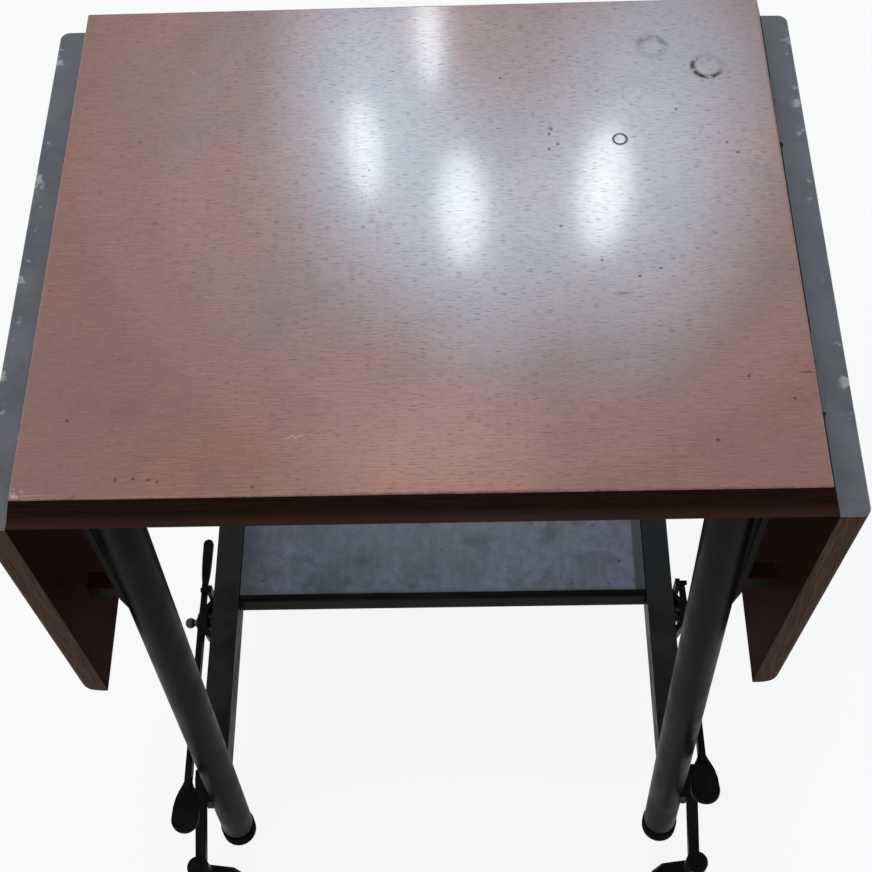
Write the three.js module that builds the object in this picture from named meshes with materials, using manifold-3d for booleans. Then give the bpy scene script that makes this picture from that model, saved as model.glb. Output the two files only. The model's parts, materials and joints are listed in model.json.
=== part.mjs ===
// Typewriter table: a veneered top with two drop leaves on a splayed tube frame, a lower tray, and
// pedals that lower a caster beside each front leg. Millimetres, +Z up, front towards -Y.
import * as THREE from "three";
import { mergeVertices } from "three/addons/utils/BufferGeometryUtils.js";
import Module from "manifold-3d";

const wasm = await Module();
wasm.setup();

// Fits shared by the whole table
const GAP = 0.3;
const RUN = 0.35;
const ARC = 6;
const SIDES = 24;
const FINE_SIDES = 16;
const PAST = 1;

// Top board and leaves
const TOP_LENGTH = 460;
const TOP_DEPTH = 382;
const TOP_THICKNESS = 23;
const TOP_HEIGHT = 660;
const EDGE_SLOPE = 7;
const LEAF_LENGTH = 252;
const LEAF_THICKNESS = 17.5;
const LEAF_GAP = 0.3;
const LEAF_ROUND = 6;
const LEAF_TOE_ROUND = 15;
const RIGHT_LEAF_LEAN = 2;

// Leaf hinges
const HINGE_SETBACK = 91;
const HINGE_LENGTH = 54;
const HINGE_PLATE = 1.5;
const HINGE_PLATE_WIDTH = 33;
const HINGE_FLAP_LENGTH = 35;
const HINGE_FLAP = 1.4;
const KNUCKLE_RADIUS = 3.2;
const HINGE_PIN_RADIUS = 1.5;
const NOTCH_CLEARANCE = 1.3;

// Legs and tips
const LEG_RADIUS = 14.3;
const LEG_WALL = 1.6;
const LEG_HEAD_INSET = 51;
const LEG_HEAD_SETBACK = 30;
const LEG_SPLAY_X = 16;
const LEG_SPLAY_Y = 24;
const TIP_WALL = 1.2;
const TIP_HEIGHT = 17;
const TIP_FLOOR = 8;

// Angle-iron frame under the top
const ANGLE_SIZE = 30;
const ANGLE_WALL = 3;

// Lower side rails and tray
const RAIL_WIDTH = 22.5;
const RAIL_HEIGHT = 28;
const RAIL_WALL = 2;
const RAIL_TOP = 183;
const RAIL_INSET = 5;
const TRAY_FRONT_SETBACK = 152;
const TRAY_REAR_SETBACK = 35;
const TRAY_LIP = 24;
const TRAY_WALL = 1.5;
const TRAY_ROUND = 6;

// Leaf support arms
const SUPPORT_INSET = 27.5;
const SUPPORT_DROP = 15;
const SUPPORT_ROD_RADIUS = 4;
const SUPPORT_LENGTH = 172;
const SUPPORT_ARM_WALL = 5;
const SUPPORT_ARM_WIDTH = 12;
const SUPPORT_ARM_SETBACK = 5;
const SUPPORT_END_SLANT = 26;
const SUPPORT_TOE_RISE = 32;
const SUPPORT_TOE_HEIGHT = 12;
const SUPPORT_BOSS_WALL = 4;
const SUPPORT_ROD_END = 2;
const HANGER_SETBACK = 23;
const HANGER_WALL = 6;
const HANGER_EYE_WALL = 4;

// Pedals
const PEDAL_SETBACK = 141;
const PEDAL_PIVOT_Z = 158;
const LEVER_WALL = 5.5;
const LEVER_HALF_HEIGHT = 5;
const LEVER_HUB_RADIUS = 9;
const PEDAL_REACH = 187;
const PEDAL_PAD_LENGTH = 48;
const PEDAL_PAD_WIDTH = 23;
const PEDAL_PAD_WALL = 4;
const LEFT_BLADE = 82;
const RIGHT_BLADE = 34;
const BLADE_WALL = 4;
const BLADE_WIDTH = 9;
const BLADE_NECK = 38;
const RIGHT_PEDAL_ANGLE = 15;
const RIGHT_PEDAL_BEND = 1.6;
const BRACKET_FOOT = 46;
const BRACKET_APEX = 20;
const BRACKET_WALL = 4;
const BRACKET_SLANT = 4.8;
const BRACKET_STANDOFF = 10;
const BRACKET_HEIGHT = 24;
const PEDAL_BOLT_RADIUS = 3;
const PEDAL_NUT_RADIUS = 5;
const PEDAL_NUT_LENGTH = 3;
const PEDAL_WASHER = 1.2;
const KNOB_RADIUS = 4.8;
const KNOB_NECK = 1;
const KNOB_RINGS = 8;

// Caster arms
const ARM_WALL = 4;
const ARM_HALF_HEIGHT = 5;
const ARM_PIVOT_Z = 100;
const ARM_HUB_RADIUS = 9;
const ARM_BOLT_RADIUS = 3;
const ARM_BOLT_HEAD = 5.5;
const ARM_BOLT_HEAD_LENGTH = 4;
const ARM_TAIL_DROP = 50;
const ARM_POST_WIDTH = 7;
const ARM_LAP = 6;
const BEAM_WIDTH = 9;
const LIFT_REACH = 30;
const LIFT_PIN_RADIUS = 2.2;
const LIFT_CLEARANCE = 0.5;
const LEG_PAD_SIZE = 20;
const LEG_PAD_MIN = 2;
const LEG_PAD_CLEARANCE = 2;
const EYE_OFFSET = 1.7;
const EYE_AHEAD = 55;
const EYE_WALL = 5;
const EYE_HEIGHT = 20;
const PARKED_LIFT = 1.2;

// Casters
const WHEEL_RADIUS = 18;
const WHEEL_WIDTH = 18;
const TREAD_ROUND = 6;
const TREAD_STEPS = 2;
const AXLE_RADIUS = 2.5;
const CASTER_HEIGHT = 62;
const CASTER_TRAIL = 24;
const STEM_RADIUS = 4;
const STEM_PROUD = 2;
const COLLAR_RADIUS = 9;
const COLLAR_HEIGHT = 6;
const NECK_RADIUS = 6.5;
const CROWN_WALL = 4;
const CROWN_CLEARANCE = 2;
const AXLE_PROUD = 1;
const CHEEK_WALL = 2.5;
const CHEEK_WIDTH = 14;
const FRONT_CASTER_HEADING = 187;
const REAR_CASTER_HEADING = 90;
const SOCKET_FLANGE = 4;
const SOCKET_DEPTH = 30;

// Levels and places that follow from the sizes above
const UNDERSIDE = TOP_HEIGHT - TOP_THICKNESS;
const HALF_LENGTH = TOP_LENGTH / 2;
const HALF_DEPTH = TOP_DEPTH / 2;
const LEAF_INNER = HALF_LENGTH + LEAF_GAP;
const LEAF_OUTER = LEAF_INNER + LEAF_THICKNESS;
const LEAF_BOTTOM = UNDERSIDE - LEAF_LENGTH;
const FLUSH_RISE = TOP_HEIGHT - LEAF_OUTER;
const HINGE_X = (LEAF_INNER + UNDERSIDE - FLUSH_RISE) / 2;
const HINGE_Z = (LEAF_INNER + UNDERSIDE + FLUSH_RISE) / 2;
const HINGE_PLACE = HALF_DEPTH - HINGE_SETBACK;
const LEG_HEAD_X = HALF_LENGTH - LEG_HEAD_INSET;
const LEG_HEAD_Y = HALF_DEPTH - LEG_HEAD_SETBACK;
const LEG_FOOT_X = LEG_HEAD_X + LEG_SPLAY_X;
const LEG_FOOT_Y = LEG_HEAD_Y + LEG_SPLAY_Y;
const FAR = LEG_FOOT_X + LEG_FOOT_Y;
const SUPPORT_X = HALF_LENGTH - SUPPORT_INSET;
const SUPPORT_Z = UNDERSIDE - SUPPORT_DROP;
const SUPPORT_ARM_PLACE = LEG_HEAD_Y - SUPPORT_ARM_SETBACK;
const HANGER_PLACE = LEG_HEAD_Y - HANGER_SETBACK;
const ANGLE_TOP = UNDERSIDE - GAP;
const LEG_TOP = ANGLE_TOP - ANGLE_WALL - GAP;
const ANGLE_INNER = LEG_HEAD_X - LEG_RADIUS - GAP - ANGLE_WALL;
const ANGLE_END = LEG_HEAD_Y + LEG_RADIUS;
const RAIL_CENTRE = LEG_FOOT_X - RAIL_INSET;
const RAIL_INNER = RAIL_CENTRE - RAIL_WIDTH / 2;
const RAIL_OUTER = RAIL_CENTRE + RAIL_WIDTH / 2;
const RAIL_BOTTOM = RAIL_TOP - RAIL_HEIGHT;
const TRAY_FRONT = TRAY_FRONT_SETBACK - LEG_FOOT_Y;
const TRAY_REAR = LEG_FOOT_Y - TRAY_REAR_SETBACK;
const PEDAL_PIVOT_Y = PEDAL_SETBACK - LEG_FOOT_Y;
const BRACKET_BACK = RAIL_OUTER + GAP;
const BRACKET_FACE = BRACKET_BACK + BRACKET_STANDOFF;
const LEVER_INNER = BRACKET_FACE + GAP;
const LEVER_OUTER = LEVER_INNER + LEVER_WALL;
const ARM_OUTER = LEVER_INNER - 2 * GAP;
const ARM_INNER = ARM_OUTER - ARM_WALL;
const LIFT_Y = PEDAL_PIVOT_Y + LIFT_REACH;
const LIFT_Z = PEDAL_PIVOT_Z + BLADE_WALL / 2 + LIFT_CLEARANCE + LIFT_PIN_RADIUS;
const EYE_Y = -LEG_FOOT_Y - EYE_AHEAD;
const EYE_BOTTOM = PARKED_LIFT + CASTER_HEIGHT + GAP;
const SOCKET_BOTTOM = CASTER_HEIGHT + GAP;
const REAR_LEG_BOTTOM = SOCKET_BOTTOM + SOCKET_FLANGE + GAP;
const STEM_LENGTH = GAP + EYE_HEIGHT + STEM_PROUD;

// The leg's axis at a height; end is -1 at the front and 1 at the rear
const legAt = (z, end) => {
  const share = z / LEG_TOP;
  return new THREE.Vector3(
    THREE.MathUtils.lerp(LEG_FOOT_X, LEG_HEAD_X, share),
    end * THREE.MathUtils.lerp(LEG_FOOT_Y, LEG_HEAD_Y, share),
    z,
  );
};
const ARM_PIVOT_Y = legAt(ARM_PIVOT_Z, -1).y;
const PAD_FACE = legAt(ARM_PIVOT_Z, -1).x + LEG_RADIUS + GAP + LEG_PAD_MIN;
const BEAM_INNER = PAD_FACE + GAP;
const BEAM_OUTER = BEAM_INNER + BEAM_WIDTH;
const EYE_X = (BEAM_INNER + BEAM_OUTER) / 2 + EYE_OFFSET;

// Finishes
const finish = (color, roughness, metalness) =>
  new THREE.MeshStandardMaterial({ color, roughness, metalness });
const VENEER = finish(0x6b2f1c, 0.35, 0);
const LEAF_WOOD = finish(0x3a1a12, 0.5, 0);
const PAINT = finish(0x17130f, 0.4, 0.2);
const TRAY_STEEL = finish(0x2f3742, 0.45, 0.6);
const STEEL = finish(0x77777a, 0.35, 0.9);
const RUBBER = finish(0x0c0c0c, 0.85, 0);

// Joining and cutting
function toSolid(geometry) {
  const bare = new THREE.BufferGeometry();
  bare.setAttribute("position", geometry.getAttribute("position"));
  if (geometry.index) bare.setIndex(geometry.index);
  const merged = mergeVertices(bare, 1e-4);
  return new wasm.Manifold(
    new wasm.Mesh({
      numProp: 3,
      vertProperties: merged.getAttribute("position").array,
      triVerts: new Uint32Array(merged.index.array),
    }),
  );
}
function toGeometry(solid) {
  const mesh = solid.getMesh();
  const geometry = new THREE.BufferGeometry();
  geometry.setAttribute("position", new THREE.BufferAttribute(mesh.vertProperties, 3));
  geometry.setIndex(new THREE.BufferAttribute(mesh.triVerts, 1));
  const flat = geometry.toNonIndexed();
  flat.computeVertexNormals();
  return flat;
}
const join = (...pieces) => toGeometry(pieces.map(toSolid).reduce((whole, piece) => whole.add(piece)));
const cut = (body, ...tools) =>
  toGeometry(tools.map(toSolid).reduce((whole, tool) => whole.subtract(tool), toSolid(body)));
const common = (first, second) => toGeometry(toSolid(first).intersect(toSolid(second)));

// Basic shapes
function box(x0, x1, y0, y1, z0, z1) {
  const brick = new THREE.BoxGeometry(x1 - x0, y1 - y0, z1 - z0);
  return brick.translate((x0 + x1) / 2, (y0 + y1) / 2, (z0 + z1) / 2);
}
const slab = (z0, z1) => box(-FAR, FAR, -FAR, FAR, z0, z1);
function rod(radius, from, to, sides = SIDES) {
  const way = new THREE.Vector3().subVectors(to, from);
  const turn = new THREE.Quaternion().setFromUnitVectors(new THREE.Vector3(0, 1, 0), way.clone().normalize());
  const middle = from.clone().lerp(to, 0.5);
  return new THREE.CylinderGeometry(radius, radius, way.length(), sides)
    .applyQuaternion(turn)
    .translate(middle.x, middle.y, middle.z);
}
const at = (x, y, z) => new THREE.Vector3(x, y, z);
const outline = (points) => new THREE.Shape(points.map(([a, b]) => new THREE.Vector2(a, b)));
const drawn = (shape, depth) =>
  new THREE.ExtrudeGeometry(shape, { depth, bevelEnabled: false, curveSegments: ARC });

// An outline in (y, z) drawn out along X, one in (x, z) along Y and one in (x, y) along Z
function alongX(shape, x0, x1) {
  const turn = new THREE.Matrix4().set(0, 0, 1, x0, 1, 0, 0, 0, 0, 1, 0, 0, 0, 0, 0, 1);
  return drawn(shape, x1 - x0).applyMatrix4(turn);
}
const alongY = (shape, y0, y1) => drawn(shape, y1 - y0).rotateX(Math.PI / 2).translate(0, y1, 0);
const alongZ = (shape, z0, z1) => drawn(shape, z1 - z0).translate(0, 0, z0);

function roundedRectangle(a0, a1, b0, b1, radii) {
  const [low0, low1, high1, high0] = radii;
  const shape = new THREE.Shape();
  shape.moveTo(a0 + low0, b0);
  shape.lineTo(a1 - low1, b0);
  if (low1) shape.absarc(a1 - low1, b0 + low1, low1, -Math.PI / 2, 0);
  shape.lineTo(a1, b1 - high1);
  if (high1) shape.absarc(a1 - high1, b1 - high1, high1, 0, Math.PI / 2);
  shape.lineTo(a0 + high0, b1);
  if (high0) shape.absarc(a0 + high0, b1 - high0, high0, Math.PI / 2, Math.PI);
  shape.lineTo(a0, b0 + low0);
  if (low0) shape.absarc(a0 + low0, b0 + low0, low0, Math.PI, 1.5 * Math.PI);
  return shape;
}

function place(group, name, geometry, material) {
  const mesh = new THREE.Mesh(geometry, material);
  mesh.name = name;
  group.add(mesh);
  return mesh;
}

// Top board: the sides lean in towards the upper face, with mortises for the hinges
function topBoard() {
  const board = new THREE.BoxGeometry(TOP_LENGTH, TOP_DEPTH, TOP_THICKNESS);
  const corner = board.getAttribute("position");
  for (let i = 0; i < corner.count; i += 1) {
    if (corner.getZ(i) < 0) continue;
    corner.setX(i, corner.getX(i) - Math.sign(corner.getX(i)) * EDGE_SLOPE);
    corner.setY(i, corner.getY(i) - Math.sign(corner.getY(i)) * EDGE_SLOPE);
  }
  board.translate(0, 0, UNDERSIDE + TOP_THICKNESS / 2);
  const half = HINGE_LENGTH / 2 + GAP;
  const notchInner = HINGE_X - KNUCKLE_RADIUS - NOTCH_CLEARANCE;
  const notchTop = HINGE_Z + KNUCKLE_RADIUS + NOTCH_CLEARANCE;
  const mortiseInner = HINGE_X - HINGE_PLATE_WIDTH - GAP;
  const mortiseTop = UNDERSIDE + HINGE_PLATE + GAP;
  const tools = [];
  for (const y of [-HINGE_PLACE, HINGE_PLACE]) {
    for (const side of [-1, 1]) {
      const notch = [side * notchInner, side * (LEAF_INNER + PAST)].sort((a, b) => a - b);
      const mortise = [side * mortiseInner, side * HINGE_X].sort((a, b) => a - b);
      tools.push(box(...notch, y - half, y + half, UNDERSIDE - PAST, notchTop));
      tools.push(box(...mortise, y - half, y + half, UNDERSIDE - PAST, mortiseTop));
    }
  }
  return cut(board, ...tools);
}

// A leaf hangs out of plumb: the leaf and its hinge flaps lean about the hinge's axis
const leaning = (geometry, lean) =>
  geometry
    .translate(-HINGE_X, 0, -HINGE_Z)
    .rotateY(THREE.MathUtils.degToRad(lean))
    .translate(HINGE_X, 0, HINGE_Z);

// Leaf: its outer arrises are rounded at the free end, the front and the rear
function leaf() {
  const fromFront = roundedRectangle(LEAF_INNER, LEAF_OUTER, LEAF_BOTTOM, UNDERSIDE, [
    0,
    LEAF_TOE_ROUND,
    0,
    0,
  ]);
  const fromTop = roundedRectangle(LEAF_INNER, LEAF_OUTER, -HALF_DEPTH, HALF_DEPTH, [
    0,
    LEAF_ROUND,
    LEAF_ROUND,
    0,
  ]);
  return common(alongY(fromFront, -HALF_DEPTH, HALF_DEPTH), alongZ(fromTop, LEAF_BOTTOM, UNDERSIDE));
}

// Leaf hinge: three knuckles, the outer two and the pin on the fixed plate
const KNUCKLE_LENGTH = HINGE_LENGTH / 3;
const hingeRod = (radius, y0, y1) =>
  rod(radius, at(HINGE_X, y0, HINGE_Z), at(HINGE_X, y1, HINGE_Z), FINE_SIDES);
function hingePlate(y) {
  const y0 = y - HINGE_LENGTH / 2;
  const y1 = y + HINGE_LENGTH / 2;
  const middle = KNUCKLE_LENGTH / 2 + GAP;
  const plate = box(HINGE_X - HINGE_PLATE_WIDTH, HINGE_X, y0, y1, UNDERSIDE, UNDERSIDE + HINGE_PLATE);
  const reach = KNUCKLE_RADIUS + 2 * GAP;
  const room = box(
    HINGE_X - reach,
    HINGE_X + reach,
    y - middle,
    y + middle,
    UNDERSIDE - PAST,
    HINGE_Z + reach,
  );
  return join(
    cut(plate, room),
    hingeRod(KNUCKLE_RADIUS, y0, y - middle),
    hingeRod(KNUCKLE_RADIUS, y + middle, y1),
    hingeRod(HINGE_PIN_RADIUS, y0, y1),
  );
}
function hingeFlap(y) {
  const outer = LEAF_INNER - GAP;
  const inner = outer - HINGE_FLAP;
  const top = UNDERSIDE - GAP;
  const middle = KNUCKLE_LENGTH / 2;
  const sheet = box(inner, outer, y - HINGE_LENGTH / 2, y + HINGE_LENGTH / 2, top - HINGE_FLAP_LENGTH, top);
  const tongue = box(inner, outer, y - middle, y + middle, top - PAST, HINGE_Z);
  const knuckle = hingeRod(KNUCKLE_RADIUS, y - middle, y + middle);
  const bore = hingeRod(HINGE_PIN_RADIUS + RUN, y - HINGE_LENGTH, y + HINGE_LENGTH);
  return cut(join(sheet, tongue, knuckle), bore);
}

// Tube leg: the head is cut level under the angle iron
function leg(end, bottom) {
  const low = legAt(-LEG_RADIUS, end);
  const high = legAt(LEG_TOP + LEG_RADIUS, end);
  const tube = cut(rod(LEG_RADIUS, low, high), rod(LEG_RADIUS - LEG_WALL, low, high));
  return common(tube, slab(bottom, LEG_TOP));
}
function footTip() {
  const low = legAt(-LEG_RADIUS, -1);
  const high = legAt(TIP_HEIGHT, -1);
  const over = legAt(TIP_HEIGHT + LEG_RADIUS, -1);
  const bore = common(rod(LEG_RADIUS + GAP, low, over), slab(TIP_FLOOR, FAR));
  const cup = common(rod(LEG_RADIUS + TIP_WALL, low, high), slab(0, FAR));
  return cut(cup, bore);
}
function rearSocket() {
  const low = legAt(REAR_LEG_BOTTOM - SOCKET_FLANGE, 1);
  const high = legAt(REAR_LEG_BOTTOM + SOCKET_DEPTH, 1);
  const foot = legAt(REAR_LEG_BOTTOM, 1);
  const upright = (radius, z0, z1) => rod(radius, at(foot.x, foot.y, z0), at(foot.x, foot.y, z1));
  const flangeTop = SOCKET_BOTTOM + SOCKET_FLANGE;
  const plug = common(
    rod(LEG_RADIUS - LEG_WALL - GAP, low, high),
    slab(SOCKET_BOTTOM + SOCKET_FLANGE / 2, FAR),
  );
  const flange = upright(LEG_RADIUS, SOCKET_BOTTOM, flangeTop);
  const bore = upright(STEM_RADIUS + RUN, 0, SOCKET_BOTTOM + STEM_LENGTH + GAP);
  return cut(join(plug, flange), bore);
}

// Angle iron along one side and across one end
function sideAngle() {
  const outer = LEG_HEAD_X + LEG_RADIUS + GAP;
  const inner = ANGLE_INNER;
  const section = outline([
    [inner, ANGLE_TOP - ANGLE_SIZE],
    [inner + ANGLE_WALL, ANGLE_TOP - ANGLE_SIZE],
    [inner + ANGLE_WALL, ANGLE_TOP - ANGLE_WALL],
    [outer, ANGLE_TOP - ANGLE_WALL],
    [outer, ANGLE_TOP],
    [inner, ANGLE_TOP],
  ]);
  return alongY(section, -ANGLE_END, ANGLE_END);
}
function crossAngle(end) {
  const face = end * ANGLE_END;
  const section = [
    [face, ANGLE_TOP],
    [face, ANGLE_TOP - ANGLE_SIZE],
    [face - end * ANGLE_WALL, ANGLE_TOP - ANGLE_SIZE],
    [face - end * ANGLE_WALL, ANGLE_TOP - ANGLE_WALL],
    [face - end * ANGLE_SIZE, ANGLE_TOP - ANGLE_WALL],
    [face - end * ANGLE_SIZE, ANGLE_TOP],
  ];
  const half = ANGLE_INNER - GAP;
  return alongX(outline(section), -half, half);
}

// Lower rail: a channel open below, coped to the legs
function sideRail() {
  const section = outline([
    [RAIL_INNER, RAIL_BOTTOM],
    [RAIL_INNER + RAIL_WALL, RAIL_BOTTOM],
    [RAIL_INNER + RAIL_WALL, RAIL_TOP - RAIL_WALL],
    [RAIL_OUTER - RAIL_WALL, RAIL_TOP - RAIL_WALL],
    [RAIL_OUTER - RAIL_WALL, RAIL_BOTTOM],
    [RAIL_OUTER, RAIL_BOTTOM],
    [RAIL_OUTER, RAIL_TOP],
    [RAIL_INNER, RAIL_TOP],
  ]);
  const reach = Math.abs(legAt(RAIL_TOP, -1).y);
  const copes = [-1, 1].map((end) => rod(LEG_RADIUS + GAP, legAt(0, end), legAt(LEG_TOP, end)));
  return cut(alongY(section, -reach, reach), ...copes);
}

// Tray: a pressed sheet with its four sides turned down
function tray() {
  const half = RAIL_INNER - GAP;
  const low = RAIL_TOP - TRAY_LIP;
  const inside = TRAY_ROUND - TRAY_WALL;
  const skin = roundedRectangle(TRAY_FRONT, TRAY_REAR, low, RAIL_TOP, [0, 0, TRAY_ROUND, TRAY_ROUND]);
  const hollow = roundedRectangle(
    TRAY_FRONT + TRAY_WALL,
    TRAY_REAR - TRAY_WALL,
    low - PAST,
    RAIL_TOP - TRAY_WALL,
    [0, 0, inside, inside],
  );
  return cut(alongX(skin, -half, half), alongX(hollow, TRAY_WALL - half, half - TRAY_WALL));
}

// Leaf support: a rod in two hangers, with an arm beside each leg and a toe that meets the raised leaf
const supportRod = (radius, y0, y1) =>
  rod(radius, at(SUPPORT_X, y0, SUPPORT_Z), at(SUPPORT_X, y1, SUPPORT_Z), FINE_SIDES);
function supportArm(end) {
  const y0 = end * SUPPORT_ARM_PLACE - SUPPORT_ARM_WIDTH / 2;
  const y1 = y0 + SUPPORT_ARM_WIDTH;
  const inner = SUPPORT_X - SUPPORT_ARM_WALL / 2;
  const outer = SUPPORT_X + SUPPORT_ARM_WALL / 2;
  const bottom = SUPPORT_Z - SUPPORT_LENGTH;
  const toe = SUPPORT_X + (HINGE_Z + LEAF_INNER - HINGE_X) - SUPPORT_Z - GAP;
  const toeLow = bottom + SUPPORT_TOE_RISE;
  const toeHigh = toeLow + SUPPORT_TOE_HEIGHT;
  const bar = outline([
    [inner, SUPPORT_Z],
    [inner, bottom],
    [outer, bottom + SUPPORT_END_SLANT],
    [outer, toeLow],
    [toe, toeLow],
    [toe, toeHigh],
    [outer, toeHigh],
    [outer, SUPPORT_Z],
  ]);
  const boss = supportRod(SUPPORT_ROD_RADIUS + RUN + SUPPORT_BOSS_WALL, y0, y1);
  const bore = supportRod(SUPPORT_ROD_RADIUS + GAP, y0 - PAST, y1 + PAST);
  return cut(join(alongY(bar, y0, y1), boss), bore);
}
function hanger(end) {
  const y = end * HANGER_PLACE;
  const eye = SUPPORT_ROD_RADIUS + RUN + HANGER_EYE_WALL;
  const shape = new THREE.Shape();
  shape.moveTo(SUPPORT_X - eye, ANGLE_TOP);
  shape.lineTo(SUPPORT_X - eye, SUPPORT_Z);
  shape.absarc(SUPPORT_X, SUPPORT_Z, eye, Math.PI, 2 * Math.PI);
  shape.lineTo(SUPPORT_X + eye, ANGLE_TOP);
  const plate = alongY(shape, y - HANGER_WALL / 2, y + HANGER_WALL / 2);
  return cut(plate, supportRod(SUPPORT_ROD_RADIUS + RUN, y - HANGER_WALL, y + HANGER_WALL));
}

// Pedal bracket: a folded strap on the rail's outer face, open above and below
function pedalBracket() {
  const foot = BRACKET_FOOT / 2;
  const apex = BRACKET_APEX / 2;
  const slant = BRACKET_SLANT;
  const y = PEDAL_PIVOT_Y;
  const shape = outline([
    [BRACKET_BACK, y - foot],
    [BRACKET_FACE, y - apex],
    [BRACKET_FACE, y + apex],
    [BRACKET_BACK, y + foot],
  ]);
  shape.holes.push(
    outline([
      [BRACKET_BACK + BRACKET_WALL / 2, y - foot + 2 * slant],
      [BRACKET_BACK + BRACKET_WALL / 2, y + foot - 2 * slant],
      [BRACKET_FACE - BRACKET_WALL, y + apex - slant / 2],
      [BRACKET_FACE - BRACKET_WALL, y - apex + slant / 2],
    ]),
  );
  const half = BRACKET_HEIGHT / 2;
  const strap = alongZ(shape, PEDAL_PIVOT_Z - half, PEDAL_PIVOT_Z + half);
  const bore = rod(
    PEDAL_BOLT_RADIUS + GAP,
    at(BRACKET_FACE - 2 * BRACKET_WALL, y, PEDAL_PIVOT_Z),
    at(BRACKET_FACE + PAST, y, PEDAL_PIVOT_Z),
    FINE_SIDES,
  );
  return cut(strap, bore);
}
const alongPivot = (radius, x0, x1, sides = FINE_SIDES) =>
  rod(radius, at(x0, PEDAL_PIVOT_Y, PEDAL_PIVOT_Z), at(x1, PEDAL_PIVOT_Y, PEDAL_PIVOT_Z), sides);
function pedalBolt() {
  const nutFace = BRACKET_FACE - BRACKET_WALL - GAP;
  const washerFace = LEVER_OUTER + GAP;
  const knobX = washerFace + PEDAL_WASHER + KNOB_NECK + KNOB_RADIUS;
  const knob = new THREE.SphereGeometry(KNOB_RADIUS, FINE_SIDES, KNOB_RINGS);
  return join(
    alongPivot(PEDAL_NUT_RADIUS, nutFace - PEDAL_NUT_LENGTH, nutFace, 6),
    alongPivot(PEDAL_BOLT_RADIUS, nutFace - PEDAL_NUT_LENGTH / 2, knobX),
    alongPivot(PEDAL_NUT_RADIUS, washerFace, washerFace + PEDAL_WASHER),
    knob.translate(knobX, PEDAL_PIVOT_Y, PEDAL_PIVOT_Z),
  );
}

// A blade seen from above: a stem that swells to a round end
function paddle(centre, from, to, stem, wide) {
  const way = Math.sign(to - from);
  const waist = from + way * wide;
  const belly = to - way * wide;
  const shape = new THREE.Shape();
  shape.moveTo(centre - stem, from);
  shape.bezierCurveTo(centre - stem, waist, centre - wide, waist, centre - wide, belly);
  shape.absarc(centre, belly, wide, Math.PI, way < 0 ? 2 * Math.PI : 0, way > 0);
  shape.bezierCurveTo(centre + wide, waist, centre + stem, waist, centre + stem, from);
  return shape;
}

// The lever's front part is bent sideways, towards the leg, from the hub on
function bent(geometry, angle) {
  const slope = Math.tan(THREE.MathUtils.degToRad(angle));
  const point = geometry.getAttribute("position");
  for (let i = 0; i < point.count; i += 1) {
    const ahead = Math.max(0, PEDAL_PIVOT_Y - LEVER_HUB_RADIUS - point.getY(i));
    point.setX(i, point.getX(i) - slope * ahead);
  }
  return geometry;
}

// Pedal lever: a flat bar with a hub, a spoon pad ahead of the leg and a handle blade behind
function pedalLever(blade, raised, bend) {
  const y = PEDAL_PIVOT_Y;
  const z = PEDAL_PIVOT_Z;
  const padEnd = y - PEDAL_REACH;
  const padStart = padEnd + PEDAL_PAD_LENGTH;
  const barEnd = padStart - PEDAL_PAD_LENGTH / 4;
  const strapStart = y + 2 * LEVER_HUB_RADIUS;
  const strapEnd = y + Math.min(blade, BLADE_NECK + BLADE_WIDTH / 2);
  const h = LEVER_HALF_HEIGHT;
  const thin = BLADE_WALL / 2;
  const bar = alongX(
    outline([
      [barEnd, z - h],
      [y - LEVER_HUB_RADIUS, z - h],
      [y, z - h],
      [strapStart, z - thin],
      [strapEnd, z - thin],
      [strapEnd, z + thin],
      [strapStart, z + thin],
      [y, z + h],
      [y - LEVER_HUB_RADIUS, z + h],
      [barEnd, z + h],
    ]),
    LEVER_INNER,
    LEVER_OUTER,
  );
  const centre = (LEVER_INNER + LEVER_OUTER) / 2;
  const stem = LEVER_WALL / 2;
  const spoon = paddle(centre, padStart, padEnd, stem, PEDAL_PAD_WIDTH / 2);
  const pad = alongZ(spoon, z - PEDAL_PAD_WALL / 2, z + PEDAL_PAD_WALL / 2);
  const pieces = [bent(bar, bend), bent(pad, bend)];
  pieces.push(alongPivot(LEVER_HUB_RADIUS, LEVER_INNER, LEVER_OUTER, SIDES));
  if (blade > BLADE_NECK) {
    const leafBlade = paddle(centre, y + BLADE_NECK, y + blade, stem, BLADE_WIDTH / 2);
    pieces.push(alongZ(leafBlade, z - thin, z + thin));
  }
  const bore = alongPivot(PEDAL_BOLT_RADIUS + GAP, LEVER_INNER - PAST, LEVER_OUTER + PAST);
  const lever = cut(join(...pieces), bore);
  return lever
    .translate(0, -y, -z)
    .rotateX(-THREE.MathUtils.degToRad(raised))
    .translate(0, y, z);
}

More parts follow.
